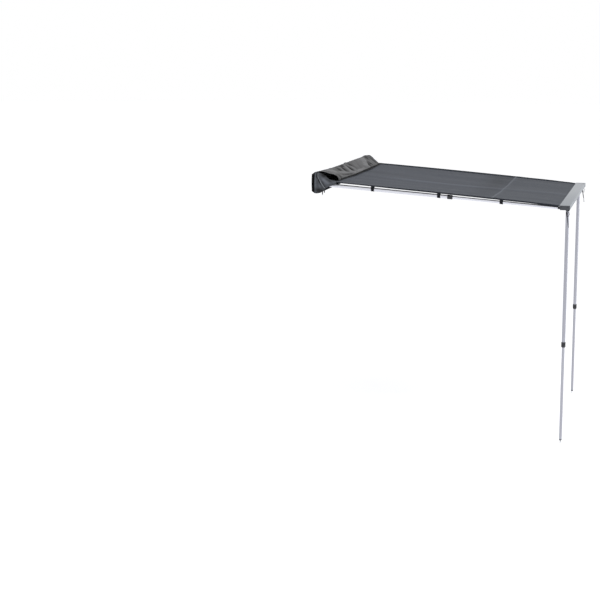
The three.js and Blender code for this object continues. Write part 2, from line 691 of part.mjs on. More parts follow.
// Receiver on the bar's inner wall: a channel open towards the middle, which holds a rafter's tongue
function tipReceiver(side) {
  const [height, width] = [receiver.tongueHeight / 2 + gap, receiver.tongueWidth / 2 + gap];
  const [tall, wide] = [height + receiver.wall, width + receiver.wall];
  const section = outline([
    [-tall, -side * width], [-tall, side * wide], [tall, side * wide], [tall, -side * width],
    [height, -side * width], [height, side * width], [-height, side * width], [-height, -side * width],
  ]);
  const length = gap + receiver.tongueLength + rafter.tipClearance - receiver.setBack;
  const channel = alongY(section, 2 * length).rotateX(slope);
  const beyond = box(4 * wide, 2 * length, 4 * tall, 0, gap - length, 0);
  const base = box(
    wide + width, receiver.wall, 2 * tall, (side * receiver.wall) / 2, gap + receiver.wall / 2, 0,
  );
  return join(cut(channel, beyond), base);
}

// Route of a guy cord from under its lug, in the bar's own frame
function guyRoute(side) {
  const x = side * (barLength / 2 + gap + endCap.thickness / 2);
  const top = -bar.height - endCap.overhang - guy.lugDepth - gap;
  const route = [
    [0, 0, 0], [0, 0, -9], [side * 0.4, -1.2, -22], [side * 1.0, -3.4, -40],
    [side * 1.6, -6.2, -58], [side * 2.0, -9.4, -76], [side * 2.0, -12.4, -93], [side * 1.6, -14.6, -108],
    [side * 1.0, -16.0, -122],
  ];
  return new THREE.CatmullRomCurve3(
    route.map(([dx, dy, dz]) => new THREE.Vector3(x + dx, -guy.offset + dy, top + dz)),
  );
}

function guyCord(side) {
  const route = guyRoute(side);
  const round = outline(evenShares(guy.sides).slice(0, guy.sides).map((share) => [
    guy.radius * Math.cos(2 * Math.PI * share), guy.radius * Math.sin(2 * Math.PI * share),
  ]));
  const run = new THREE.ExtrudeGeometry(round, { steps: guy.steps, extrudePath: route, bevelEnabled: false });
  const end = route.getPointAt(1);
  const knot = new THREE.SphereGeometry(guy.knotRadius, 10, 6).translate(end.x, end.y, end.z);
  return join(run, knot);
}

// Runner: a small waisted slide on the guy cord
function guyRunner(side) {
  const route = guyRoute(side);
  const [half, waist] = [guy.runnerLength / 2, guy.runnerWidth / 2];
  const shape = new THREE.Shape();
  shape.moveTo(-waist, -half);
  shape.lineTo(waist, -half);
  shape.quadraticCurveTo(waist * 0.6, 0, waist, half);
  shape.lineTo(-waist, half);
  shape.quadraticCurveTo(-waist * 0.6, 0, -waist, -half);
  const bore = rodAlongY(guy.radius * 1.5, -half - cutOverrun, half + cutOverrun, 12);
  const runner = cut(alongZ(shape, guy.runnerThickness, 4), bore);
  const middle = route.getPointAt(runnerShares[side]);
  const up = route.getTangentAt(runnerShares[side]).negate();
  runner.applyQuaternion(new THREE.Quaternion().setFromUnitVectors(new THREE.Vector3(0, 1, 0), up));
  return runner.translate(middle.x, middle.y, middle.z);
}

// Front bar with its caps, receivers and cords
function frontBarAssembly() {
  const group = new THREE.Group();
  group.position.set(0, -reach, -barDrop);
  group.add(named('front_bar', frontBar(), finishes.extrusion));
  for (const side of [LEFT, RIGHT]) {
    const name = sideName(side);
    const held = named(`${name}_tip_receiver`, tipReceiver(side), finishes.bracket);
    held.position.set(side * rafterX, reach - barWall, -receiverDrop);
    group.add(
      named(`${name}_bar_cap`, barCap(side), finishes.moulding),
      held,
      named(`${name}_guy_cord`, guyCord(side), finishes.cord),
      named(`${name}_guy_runner`, guyRunner(side), finishes.moulding),
    );
  }
  return group;
}

// The canopy runs from the bottom of the backboard's groove to the bottom of the bar's
const canopyStart = board.depth - board.lip - kederGroove + keder.clearance;
const canopyLength = barInnerEdge + bar.grooveWall + kederGroove - keder.clearance - canopyStart;

// Height of the canopy's middle surface: it sags between the rafters and ripples lengthwise
function canopySurface(x, outward) {
  const across = x / canopyWidth + 0.5;
  const along = Math.min(Math.max((outward - canopyStart) / canopyLength, 0), 1);
  const fromEdge = 4 * across * (1 - across);
  const ripple = 0.18 * Math.sin(9 * Math.PI * across) * Math.sin(3 * Math.PI * along);
  return canopyHeight(outward) - cloth.sag * Math.sin(Math.PI * along) ** 2 * fromEdge * (1 - ripple);
}

// Canopy: one cloth from the backboard's groove to the bar's, with a rope in each end
function canopy() {
  const [start, length] = [canopyStart, canopyLength];
  const ropeShare = keder.rope / length;
  const mouthShare = (keder.rope + keder.clearance) / length;
  const inner = evenShares(cloth.rows).slice(1, -1);
  const along = [0, ropeShare, mouthShare, ...inner, 1 - mouthShare, 1 - ropeShare, 1];
  const across = evenShares(cloth.columns);
  const pointAt = (u, v) => {
    const [x, outward] = [(u - 0.5) * canopyWidth, start + v * length];
    return new THREE.Vector3(x, -outward, canopySurface(x, outward));
  };
  const thicknessAt = (u, v) => (v <= ropeShare || v >= 1 - ropeShare ? keder.rope : cloth.canopyThickness);
  return sheet(pointAt, across, along, thicknessAt);
}

// A line that leaves the backboard's edge groove straight and then curves through some points
function fromGroove(grooveEnd, points) {
  const line = new THREE.CurvePath();
  line.add(new THREE.LineCurve3(new THREE.Vector3(0, board.coverInset, grooveEnd), points[0]));
  line.add(new THREE.CatmullRomCurve3(points, false, 'catmullrom', 0.4));
  return line;
}

// Stations along such a line: round its rope, at the groove's mouth and evenly beyond
function stationsFromGroove(line, count) {
  const ropeShare = keder.rope / line.getLength();
  const mouthShare = line.curves[0].getLength() / line.getLength();
  const beyond = evenShares(count).filter((share) => share > 1.2 * mouthShare);
  return [0, 0.85 * ropeShare, ropeShare, mouthShare, ...beyond];
}

// Half the cover's length at a share of a line from its groove: it widens once past the end caps
function coverHalf(line, v) {
  const [inGroove, outside] = [boardLength / 2 - keder.clearance, boardLength / 2 + cover.overhang];
  const widened = THREE.MathUtils.smoothstep(v * line.getLength(), cover.widensFrom, cover.widensTo);
  return inGroove + (outside - inGroove) * widened;
}

// Section of the top flap at a share of its width, between the two nearest of its given sections
function flapSection(u) {
  const last = flapShares.length - 1;
  const next = Math.min(Math.max(flapShares.findIndex((one) => one.across >= u), 1), last);
  const [from, to] = [flapShares[next - 1], flapShares[next]];
  const t = THREE.MathUtils.smoothstep(u, from.across, to.across);
  const { lerp } = THREE.MathUtils;
  return {
    reach: cover.flapReach * lerp(from.reach, to.reach, t),
    ridge: cover.ridgeHeight * lerp(from.ridge, to.ridge, t),
    points: from.points.map((point, i) => point.map((value, k) => lerp(value, to.points[i][k], t))),
  };
}

// Centre line of the cover's top flap at a share of its width, as outward distance and height
function flapLine(u) {
  const half = board.height / 2;
  const section = flapSection(u);
  const grooveEnd = half - board.lip - kederGroove + keder.clearance;
  const onCanopy = canopyHeight(section.reach) + cloth.canopyThickness / 2 + clothClearance;
  const rest = onCanopy + cloth.coverThickness / 2;
  const rise = new THREE.Vector3(
    0, riseShare.outward * section.reach, half + riseShare.up * (section.ridge - half),
  );
  return fromGroove(grooveEnd, [
    new THREE.Vector3(0, board.coverInset, half + board.lip), rise,
    ...section.points.map(([outward, up]) => (
      new THREE.Vector3(0, outward * section.reach, rest + up * (section.ridge - rest))
    )),
  ]);
}

// How far the flap's cloth is pulled in from its ends, most of all at the corners of its front edge
function flapPull(u, v) {
  const towards = (share) => Math.max(1 - share / cover.pullShare, 0) ** 1.5;
  const pull = cover.leftPull * towards(u) - cover.rightPull * towards(1 - u);
  return pull * THREE.MathUtils.smoothstep(v, 0.3, 1.05);
}

// Top flap of the cover, thrown forward over the start of the canopy and lifted at its left end
function topFlap() {
  const across = evenShares(cover.flapColumns);
  const lines = new Map();
  const lineAt = (u) => {
    const key = Math.round(u * 1e5);
    if (!lines.has(key)) lines.set(key, flapLine(Math.min(Math.max(u, 0), 1)));
    return lines.get(key);
  };
  const ropeShare = keder.rope / lineAt(0.5).getLength();
  const along = stationsFromGroove(lineAt(0.5), cover.flapRows);
  const pointAt = (u, v) => {
    const point = lineAt(u).getPointAt(Math.min(Math.max(v, 0), 1));
    const free = Math.sin(Math.PI * Math.min(Math.max((v - 0.12) / 0.88, 0), 1));
    const fold = Math.sin(17 * u + 6 * v) + 0.7 * Math.sin(31 * u - 9 * v + 1);
    const x = (2 * u - 1) * (coverHalf(lineAt(u), v) - cloth.coverThickness) + flapPull(u, v);
    return new THREE.Vector3(x, -point.y, point.z + cover.wrinkle * free * fold);
  };
  const thicknessAt = (u, v) => (v < 0.9 * ropeShare ? keder.rope - keder.clearance : cloth.coverThickness);
  return sheet(pointAt, across, along, thicknessAt);
}

// Centre line of the cover's bottom panel, from its groove to the zip along its front edge
function panelLine() {
  const half = board.height / 2;
  // Shares of the panel's reach with shares of its sag
  const sagShares = [[0.3, -0.55], [0.65, -0.3], [1, 1]];
  return fromGroove(-half + board.lip + kederGroove - keder.clearance, [
    new THREE.Vector3(0, board.coverInset, -half - board.lip),
    ...sagShares.map(([outward, up]) => (
      new THREE.Vector3(0, outward * cover.panelReach, -half + up * cover.panelSag)
    )),
  ]);
}

function bottomPanel() {
  const line = panelLine();
  const ropeShare = keder.rope / line.getLength();
  const along = stationsFromGroove(line, cover.panelRows);
  const pointAt = (u, v) => {
    const point = line.getPointAt(Math.min(Math.max(v, 0), 1));
    const free = Math.sin(Math.PI * Math.min(Math.max((v - 0.15) / 0.85, 0), 1)) ** 2;
    const fold = cover.wrinkle * 0.5 * free * Math.sin(13 * u + 4 * v);
    return new THREE.Vector3((2 * u - 1) * coverHalf(line, v), -point.y, point.z + fold);
  };
  const thicknessAt = (u, v) => (v < 0.9 * ropeShare ? keder.rope - keder.clearance : cloth.coverThickness);
  return sheet(pointAt, evenShares(14), along, thicknessAt);
}

// Soft end of the cover: upright cloth from the backboard's end to the corner of the flap
function endPanel(side) {
  const start = boardLength / 2 + cover.overhang + gap + cloth.coverThickness / 2;
  const { ridge } = flapSection(side === LEFT ? 0 : 1);
  // Points of the upper edge: shares of the reach and of the ridge's height
  const upperShares = [
    [-0.03, 0.79], [0.06, 0.94], [0.18, 0.97], [0.34, 0.88],
    [0.5, 0.73], [0.61, 0.56], [0.75, 0.42], [1, endTipShares[side].top],
  ];
  // Points of the lower edge: shares of the bottom panel's reach, then of the way on to the tip, and
  // shares of half the board's height
  const underShares = [[-0.08, -0.83], [0.12, -1.05], [0.3, -1.095], [0.65, -1.07], [1, -0.93]];
  const beyondShares = [[0.19, -0.66], [0.43, -0.26], [0.71, 0], [1, endTipShares[side].foot]];
  const beyondReach = endReach[side] - cover.panelReach;
  const half = board.height / 2;
  const upper = new THREE.SplineCurve(
    upperShares.map(([outward, up]) => new THREE.Vector2(outward * endReach[side], up * ridge)),
  );
  const lower = new THREE.SplineCurve([
    ...underShares.map(([outward, up]) => new THREE.Vector2(outward * cover.panelReach, up * half)),
    ...beyondShares.map(([beyond, up]) => (
      new THREE.Vector2(cover.panelReach + beyond * beyondReach, up * half)
    )),
  ]);
  const pointAt = (u, v) => {
    const clamped = Math.min(Math.max(u, 0), 1);
    const [top, bottom] = [upper.getPoint(clamped), lower.getPoint(clamped)];
    const outward = v * top.x + (1 - v) * bottom.x;
    const height = v * top.y + (1 - v) * bottom.y;
    const upward = Math.sin(Math.PI * Math.min(Math.max(v, 0), 1));
    const puff = cover.endBulge * upward * Math.sin(Math.PI * (0.12 + 0.76 * clamped));
    const crease = 1 + 0.25 * Math.sin(9 * clamped + 5 * v);
    return new THREE.Vector3(side * (start + puff * crease), -outward, height);
  };
  return sheet(pointAt, evenShares(12), evenShares(9), () => cloth.coverThickness);
}

// Strap: a loop of webbing round the rafter, wide enough for the outer tube, hung from the canopy's hem
function strapLoop(side, place) {
  const outward = strap.reachShares[place - 1] * barInnerEdge;
  const radius = tube.outerRadius + strap.clearance;
  const outer = radius + strap.thickness;
  const lowest = canopySurface(rafterX - outer, outward) - cloth.canopyThickness / 2;
  const room = lowest - rafterHeight(outward) - clothClearance;
  const shape = new THREE.Shape();
  shape.moveTo(room, -outer);
  shape.lineTo(0, -outer);
  shape.absarc(0, 0, outer, -Math.PI / 2, Math.PI / 2, true);
  shape.lineTo(room, outer);
  shape.lineTo(room, radius);
  shape.lineTo(0, radius);
  shape.absarc(0, 0, radius, Math.PI / 2, -Math.PI / 2, false);
  shape.lineTo(room, -radius);
  const loop = named(
    `${sideName(side)}_strap_${place}`, alongY(shape, strap.width, strap.arcSteps), finishes.webbing,
  );
  loop.position.set(side * rafterX, -outward, rafterHeight(outward));
  loop.rotation.x = slope;
  return loop;
}

// Zip slider with its hanging pull, on the zip along the bottom panel's front edge
function zipSlider() {
  const edge = panelLine().getPointAt(1);
  const slot = cloth.coverThickness + 4 * gap;
  const [halfWidth, halfHeight] = [slider.width / 2, slider.height / 2];
  const body = alongX(
    roundedRectangle(-halfWidth, -halfHeight, halfWidth, halfHeight, slider.pullThickness), slider.length,
  );
  const tape = box(
    slider.length + 2 * cutOverrun, slider.width, slot, 0, slider.width / 2, 0,
  );
  const pullTop = -halfHeight;
  const pull = box(
    slider.pullThickness, slider.pullWidth, slider.pullLength,
    0, -slider.pullThickness, pullTop + slider.height / 8 - slider.pullLength / 2,
  );
  const eye = rodAlongZ(slider.pullEye, slider.width, 10).rotateY(Math.PI / 2);
  const eyeHeight = pullTop - slider.pullLength + 2 * slider.pullEye;
  const tag = cut(pull, moved(eye, 0, -slider.pullThickness, eyeHeight));
  const tangent = panelLine().getTangentAt(1);
  const tilt = Math.atan2(tangent.z, tangent.y);
  const grip = cut(body, tape).rotateX(-tilt);
  const x = -boardLength / 2 - cover.overhang + 2 * slider.length;
  return moved(join(grip, tag), x, -edge.y - slider.width / 8, edge.z);
}

function caseAssembly() {
  const group = new THREE.Group();
  group.add(
    named('backboard', backboard(), finishes.extrusion),
    named('canopy', canopy(), finishes.canopy),
    named('cover_top_flap', topFlap(), finishes.cover),
    named('cover_bottom_panel', bottomPanel(), finishes.cover),
    named('cover_zip_slider', zipSlider(), finishes.moulding),
  );
  for (const side of [LEFT, RIGHT]) {
    const name = sideName(side);
    group.add(
      named(`${name}_case_cap`, caseCap(side), finishes.moulding),
      named(`${name}_cover_end`, endPanel(side), finishes.cover),
    );
    const bracket = new THREE.Group();
    bracket.position.x = (side * mountBracket.spacing) / 2;
    bracket.add(named(`${name}_rack_bracket`, rackBracket(), finishes.bracket));
    for (const level of [1, -1]) {
      const bolt = named(
        `${name}_${level > 0 ? 'upper' : 'lower'}_t_bolt`, slotBolt(), finishes.steel,
      );
      bolt.position.z = level * slotHeight;
      bracket.add(bolt);
    }
    group.add(bracket);
    strap.reachShares.forEach((_, index) => group.add(strapLoop(side, index + 1)));
  }
  return group;
}

const awning = new THREE.Group();
awning.add(caseAssembly(), frontBarAssembly());
for (const side of [LEFT, RIGHT]) awning.add(rafterAssembly(side), legAssembly(side));

export default awning;
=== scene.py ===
"""A roll-out vehicle side awning, opened out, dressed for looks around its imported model.

X runs along the vehicle, -Y points away from it and Z is up. Everything is in metres; a size
that is given in millimetres is multiplied by MM. The left end of the awning is at -X.
"""

import json
import logging
import math
from collections.abc import Callable, Iterable, Iterator, Sequence
from contextlib import contextmanager
from dataclasses import dataclass, field
from enum import Enum

import bpy
import numpy as np
from mathutils import Matrix, Vector, noise


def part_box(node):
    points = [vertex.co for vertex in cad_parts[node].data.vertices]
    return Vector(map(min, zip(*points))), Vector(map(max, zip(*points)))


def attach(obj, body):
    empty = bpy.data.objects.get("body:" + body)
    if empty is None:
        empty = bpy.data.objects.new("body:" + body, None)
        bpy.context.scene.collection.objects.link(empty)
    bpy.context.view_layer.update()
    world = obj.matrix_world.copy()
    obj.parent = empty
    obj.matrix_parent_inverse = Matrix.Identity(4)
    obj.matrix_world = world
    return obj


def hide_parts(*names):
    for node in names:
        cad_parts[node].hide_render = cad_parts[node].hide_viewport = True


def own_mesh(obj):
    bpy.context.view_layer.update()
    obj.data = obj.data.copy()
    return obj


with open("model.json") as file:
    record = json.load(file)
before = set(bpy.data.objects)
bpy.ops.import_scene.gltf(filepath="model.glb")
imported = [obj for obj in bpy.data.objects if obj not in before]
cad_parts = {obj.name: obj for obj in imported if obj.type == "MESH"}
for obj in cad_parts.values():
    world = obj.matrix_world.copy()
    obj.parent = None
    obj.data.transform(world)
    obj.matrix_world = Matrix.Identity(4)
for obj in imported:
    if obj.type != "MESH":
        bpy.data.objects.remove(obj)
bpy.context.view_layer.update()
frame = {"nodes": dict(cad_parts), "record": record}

LOG = logging.getLogger("awning")
MM = 0.001
IMAGE_SIDE = 600

HOME = {
    node: body for body, members in frame["record"]["behaviour"]["bodies"].items() for node in members
}

Point = tuple[float, float, float]
Range = tuple[float, float]
Place = Callable[[float, float], Point]
Piece = bpy.types.Object
Tree = bpy.types.NodeTree
Socket = bpy.types.NodeSocket
QUARTER_X = Matrix.Rotation(math.radians(90), 4, "X")
PAINTED_FOLD_LIGHT = "fold"  # a vertex attribute for painted light: 0 paints shade in the depth of a fold, 1 paints a highlight on its crest
SHARP = 35.0  # an edge that turns more than this many degrees is rounded and shaded sharp


class Side(Enum):
    """The two ends of the awning, with the sign of X there."""

    LEFT = -1
    RIGHT = 1

    @property
    def word(self) -> str:
        """The side's name, as the nodes have it."""
        return self.name.lower()


class Grain(Enum):
    """The way a surface's grain runs, as the pattern's stretch along X, Y and Z."""

    EVEN = (1.0, 1.0, 1.0)
    ALONG_X = (0.02, 1.0, 1.0)
    ALONG_Y = (1.0, 0.02, 1.0)
    ALONG_Z = (1.0, 1.0, 0.02)


# Colours and materials


def linear(colour: str, gain: float = 1.0) -> tuple[float, float, float, float]:
    """Turns an sRGB hex colour into linear red, green, blue and alpha.

    Args:
        colour: the colour as six hex digits.
        gain: what red, green and blue are multiplied by.

    Returns:
        The four linear values.
    """
    shares = [int(colour[i : i + 2], 16) / 255 for i in (0, 2, 4)]
    return (*[gain * (s / 12.92 if s <= 0.04045 else ((s + 0.055) / 1.055) ** 2.4) for s in shares], 1.0)


def fill(tree: Tree, node: bpy.types.Node, sockets: dict) -> None:
    """Gives a node's sockets, by name or number, a value each or the output that feeds them.

    Args:
        tree: the material's node tree.
        node: the node.
        sockets: socket name or number to its value or output.
    """
    for socket, value in sockets.items():
        if isinstance(value, bpy.types.NodeSocket):
            tree.links.new(value, node.inputs[socket])
        else:
            node.inputs[socket].default_value = value


def add_node(tree: Tree, kind: str, sockets: dict | None = None, **settings: object) -> bpy.types.Node:
    """Adds a shader node.

    Args:
        tree: the node tree that gets it.
        kind: Blender's name for the node's type, after ShaderNode.
        sockets: socket name or number to its value, or to the output that feeds it.
        settings: the node's own properties.

    Returns:
        The new node.
    """
    node = tree.nodes.new(f"ShaderNode{kind}")
    for name, value in settings.items():
        setattr(node, name, value)
    fill(tree, node, sockets or {})
    return node


def wave_scale(spacing: float) -> float:
    """The Wave texture's scale that puts its bands this far apart, in metres."""
    return math.pi / 10 / spacing


@dataclass(frozen=True)
class Finish:
    """What every finish has: a name, the slot it shows in, a colour and a roughness."""

    name: str
    slot: str
    colour: str
    roughness: float = 0.5

    def material(self) -> bpy.types.Material:
        """Makes the material once and gives the same one after that.

        Returns:
            The material.
        """
        made = bpy.data.materials.get(self.name)
        if made is None:
            made = bpy.data.materials.new(self.name)
            made.use_nodes = True
            self.weave(made.node_tree)
        return made

    def weave(self, tree: Tree) -> None:
        """Builds the finish's own nodes on a material's tree."""
        raise NotImplementedError

    def coat(
        self, tree: Tree, tone: Socket, pattern: Socket, spread: float, height: Socket, relief: float,
        values: dict,
    ) -> None:
        """Gives the shader its colour, a roughness that varies, its relief and its own values.

        Args:
            tree: the material's node tree.
            tone: the colour.
            pattern: what the roughness follows.
            spread: how far the roughness varies either way.
            height: what stands proud.
            relief: how far it does, in metres.
            values: socket name to value for what is the same all over.
        """
        varied = {"Value": pattern, "To Min": self.roughness - spread, "To Max": self.roughness + spread}
        rough = add_node(tree, "MapRange", varied).outputs[0]
        bump = add_node(tree, "Bump", {"Strength": 1.0, "Height": height, "Distance": relief})
        sockets = {"Base Color": tone, "Roughness": rough, "Normal": bump.outputs[0], **values}
        fill(tree, tree.nodes["Principled BSDF"], sockets)


@dataclass(frozen=True)
class HardFinish(Finish):
    """A hard surface with a fine grain in its relief and roughness and slow clouds in its colour."""

    way: Grain = Grain.EVEN
    metallic: float = 0.0
    grain: float = 1.1 * MM
    relief: float = 0.05 * MM
    spread: float = 0.07  # how far the roughness varies either way
    clouds: float = 0.18  # how much the clouds darken the colour

    def weave(self, tree: Tree) -> None:
        """Builds the grain along the way that the surface was drawn, moulded or sprayed.

        Args:
            tree: the material's node tree.
        """
        place = add_node(tree, "TexCoord").outputs["Object"]
        drawn = add_node(tree, "Mapping", {"Vector": place, "Scale": self.way.value}).outputs[0]
        fine, slow = (
            add_node(tree, "TexNoise", {"Vector": drawn, "Scale": scale, "Detail": detail}).outputs["Fac"]
            for scale, detail in ((1 / self.grain, 2.0), (9.0, 4.0))
        )
        tones = {0: slow, 6: linear(self.colour), 7: linear(self.colour, 1 - self.clouds)}
        tone = add_node(tree, "Mix", tones, data_type="RGBA").outputs[2]
        self.coat(tree, tone, fine, self.spread, fine, self.relief, {"Metallic": self.metallic})


@dataclass(frozen=True)
class AnodisedAluminium(HardFinish):
    """Anodised aluminium from a die: satin, with lines that run the way it left the die."""

    way: Grain = Grain.ALONG_X
    metallic: float = 1.0
    grain: float = 1.6 * MM  # real lines lie a tenth of this apart, too fine to show
    relief: float = 0.02 * MM
    spread: float = 0.05
    clouds: float = 0.06


@dataclass(frozen=True)
class NylonMoulding(HardFinish):
    """Glass-filled nylon, moulded. Its spark-eroded grain is drawn ten times too large, to show."""


@dataclass(frozen=True)
class ZincPlate(HardFinish):
    """Zinc-plated steel: bright grey, faintly mottled by the plating bath."""

    metallic: float = 1.0
    grain: float = 2.5 * MM
    relief: float = 0.01 * MM
    spread: float = 0.1
    clouds: float = 0.12


@dataclass(frozen=True)
class PowderCoat(HardFinish):
    """Black powder coat on steel: half matt, with the orange peel of sprayed powder."""

    grain: float = 1.8 * MM
    relief: float = 0.08 * MM
    spread: float = 0.06
    clouds: float = 0.1


@dataclass(frozen=True)
class WovenCloth(Finish):
    """Coated polyester cloth: matt, plain woven, with a soft sheen at a slant.

    Its pattern follows the piece's UV map, which is in metres of flat cloth.
    """

    thread: float = 2.6 * MM  # real threads lie 0.5 mm apart, too fine to show
    relief: float = 0.12 * MM
    streak: float = 0.1  # how much the lengthwise streaks darken the cloth
    sheen: float = 0.04
    gloss: float = 0.18
    panel_from: float | None = None  # where along the cloth another panel begins
    panel_colour: str = "ffffff"
    folded: bool = False  # whether the piece has the attribute that paints shade in its folds and highlights on their crests

    def shaded_folds(self, tree: Tree, tone: Socket) -> Socket:
        """Paints shade into the cloth's folds and a highlight on their crests.

        Args:
            tree: the material's node tree.
            tone: the cloth's colour so far.

        Returns:
            The colour with its folds.
        """
        fold = add_node(tree, "Attribute", attribute_name=PAINTED_FOLD_LIGHT).outputs["Fac"]
        for extreme, gain in ((0.0, 0.1), (1.0, 1.9)):
            limits = {"Value": fold, "From Min": 0.5, "From Max": extreme}
            share = add_node(tree, "MapRange", limits).outputs[0]
            tones = {0: share, 6: tone, 7: linear(self.colour, gain)}
            tone = add_node(tree, "Mix", tones, data_type="RGBA").outputs[2]
        return tone

    def weave(self, tree: Tree) -> None:
        """Builds the threads, the streaks along the cloth, its painted fold shade and highlights, and its
        other panel.

        Args:
            tree: the material's node tree.
        """
        flat = add_node(tree, "UVMap").outputs[0]
        wave = {"Vector": flat, "Scale": wave_scale(self.thread), "Distortion": 0.6, "Detail": 1.0}
        threads = [add_node(tree, "TexWave", wave, bands_direction=way).outputs["Fac"] for way in "XY"]
        woven = add_node(tree, "Math", dict(enumerate(threads)), operation="MULTIPLY")
        long = add_node(tree, "Mapping", {"Vector": flat, "Scale": (1.0, 0.12, 1.0)})
        streaked = {"Vector": long.outputs[0], "Scale": 7.0, "Detail": 5.0}
        streaks = add_node(tree, "TexNoise", streaked).outputs["Fac"]
        tones = {0: streaks, 6: linear(self.colour), 7: linear(self.colour, 1 - 2.6 * self.streak)}
        tone = add_node(tree, "Mix", tones, data_type="RGBA").outputs[2]
        if self.folded:
            tone = self.shaded_folds(tree, tone)
        if self.panel_from is not None:
            along = add_node(tree, "SeparateXYZ", {0: flat}).outputs["Y"]
            limits = {"From Min": self.panel_from, "From Max": self.panel_from + 4 * MM, "To Max": 0.5}
            beyond = add_node(tree, "MapRange", {"Value": along, **limits}).outputs[0]
            tones = {0: beyond, 6: tone, 7: linear(self.panel_colour)}
            tone = add_node(tree, "Mix", tones, data_type="RGBA").outputs[2]
        values = {"Sheen Weight": self.sheen, "Sheen Roughness": 0.45, "Specular IOR Level": self.gloss}
        self.coat(tree, tone, streaks, 0.06, woven.outputs[0], self.relief, values)


@dataclass(frozen=True)
class RibbedTextile(Finish):
    """Woven webbing, tape or braid: matt, with raised ribs at a steady spacing."""

    rib: float = 1.8 * MM
    slant: float = 0.0  # turn of the ribs about Y and Z, in radians
    relief: float = 0.2 * MM

    def weave(self, tree: Tree) -> None:
        """Builds the ribs on the piece's own coordinates.

        Args:
            tree: the material's node tree.
        """
        place = add_node(tree, "TexCoord").outputs["Object"]
        slanted = add_node(tree, "Mapping", {"Vector": place, "Rotation": (0.0, self.slant, self.slant)})
        wave = {"Vector": slanted.outputs[0], "Scale": wave_scale(self.rib), "Distortion": 0.4}
        ribs = add_node(tree, "TexWave", wave, bands_direction="DIAGONAL").outputs["Fac"]
        tones = {0: ribs, 6: linear(self.colour, 0.6), 7: linear(self.colour)}
        tone = add_node(tree, "Mix", tones, data_type="RGBA").outputs[2]
        self.coat(tree, tone, ribs, 0.08, ribs, self.relief, {"Specular IOR Level": 0.08})


EXTRUSION = AnodisedAluminium("anodised_extrusion", "extrusion", "989da3", 0.42)
# One anodised tube in two copies: the rafters' is made paler as painted light, the legs' darker as painted
# shade
RAFTER_TUBE = AnodisedAluminium("anodised_rafter_tube", "tube", "d4d5dc", 0.34, Grain.ALONG_Y)
LEG_TUBE = AnodisedAluminium("anodised_leg_tube", "tube", "a6a7b0", 0.3, Grain.ALONG_Z)
MOULDING = NylonMoulding("moulded_nylon", "moulding", "2d2f33", 0.55)
CAP_MOULDING = NylonMoulding("moulded_nylon_cap", "moulding", "46494f", 0.5)
STEEL = ZincPlate("zinc_plated_steel", "steel", "b4b7bb", 0.36)
COATED_STEEL = PowderCoat("powder_coated_steel", "bracket", "232528", 0.45)
CANOPY_CLOTH = WovenCloth(
    "coated_canvas", "canopy_cloth", "53575f", 0.82, panel_from=1.385, panel_colour="4f5359", folded=True,
)
SEAM_CLOTH = WovenCloth("coated_canvas_seam", "canopy_cloth", "6c7078", 0.8)
HEM_TAPE = RibbedTextile("hem_binding", "canopy_cloth", "34373e", 0.85)
COVER_CLOTH = WovenCloth(
    "coated_cover_cloth", "cover_cloth", "565657", 0.66, streak=0.12, gloss=0.3, folded=True,
)
# The ends' copy of the cover cloth, tuned apart from the flap's so that the upright ends come out as bright
# as they look: painted light
COVER_END_CLOTH = WovenCloth(
    "coated_cover_end_cloth", "cover_cloth", "53565c", 0.62, streak=0.14, gloss=0.3, folded=True,
)
ZIP_TAPE = RibbedTextile("zip_tape", "webbing", "0d0e10", 0.85)
ZIP_TEETH = NylonMoulding("zip_teeth", "moulding", "131416", 0.6)
PIPING = NylonMoulding("cover_piping", "cover_cloth", "8e9296", 0.6)
WEBBING = RibbedTextile("woven_webbing", "webbing", "24262a", 0.88)
THREAD = RibbedTextile("sewing_thread", "webbing", "7c8087", 0.8, rib=0.9 * MM)  # real twist is finer
BRAID = RibbedTextile("braided_cord", "cord", "17181b", 0.85, rib=2.4 * MM, slant=0.6)


# Hand tools


def clear_bench() -> None:
    """Leaves edit mode and deselects everything."""
    if bpy.context.mode != "OBJECT":
        bpy.ops.object.mode_set(mode="OBJECT")
    bpy.ops.object.select_all(action="DESELECT")


def take(piece: Piece) -> None:
    """Makes a piece the only selected and the active one.

    Args:
        piece: the piece.
    """
    clear_bench()
    piece.select_set(True)
    bpy.context.view_layer.objects.active = piece


@contextmanager
def edit_mode(piece: Piece) -> Iterator[None]:
    """Opens a piece in edit mode with all of it selected, and leaves that mode afterwards.

    Args:
        piece: the piece.

    Returns:
        Nothing, once, while the piece is open.
    """
    take(piece)
    bpy.ops.object.mode_set(mode="EDIT")
    bpy.ops.mesh.select_all(action="SELECT")
    yield
    bpy.ops.object.mode_set(mode="OBJECT")


def active(name: str) -> Piece:
    """Names the primitive that was just added.

    Args:
        name: the piece's name.

    Returns:
        The piece.
    """
    piece = bpy.context.active_object
    piece.name = piece.data.name = name
    return piece


def add_object(name: str, data: bpy.types.ID) -> Piece:
    """Adds an object of a mesh, curve, camera or lamp to the scene.

    Args:
        name: the piece's name.
        data: what it is made of.

    Returns:
        The new object.
    """
    piece = bpy.data.objects.new(name, data)
    bpy.context.scene.collection.objects.link(piece)
    return piece


def settle(piece: Piece, matrix: Matrix | None = None) -> Piece:
    """Puts a piece's place, and a further move if one is given, into its mesh.

    Args:
        piece: the piece.
        matrix: the further move.

    Returns:
        The piece, at the origin.
    """
    take(piece)
    bpy.context.view_layer.update()
    piece.data.transform((matrix or Matrix.Identity(4)) @ piece.matrix_world)
    piece.matrix_world = Matrix.Identity(4)
    return piece


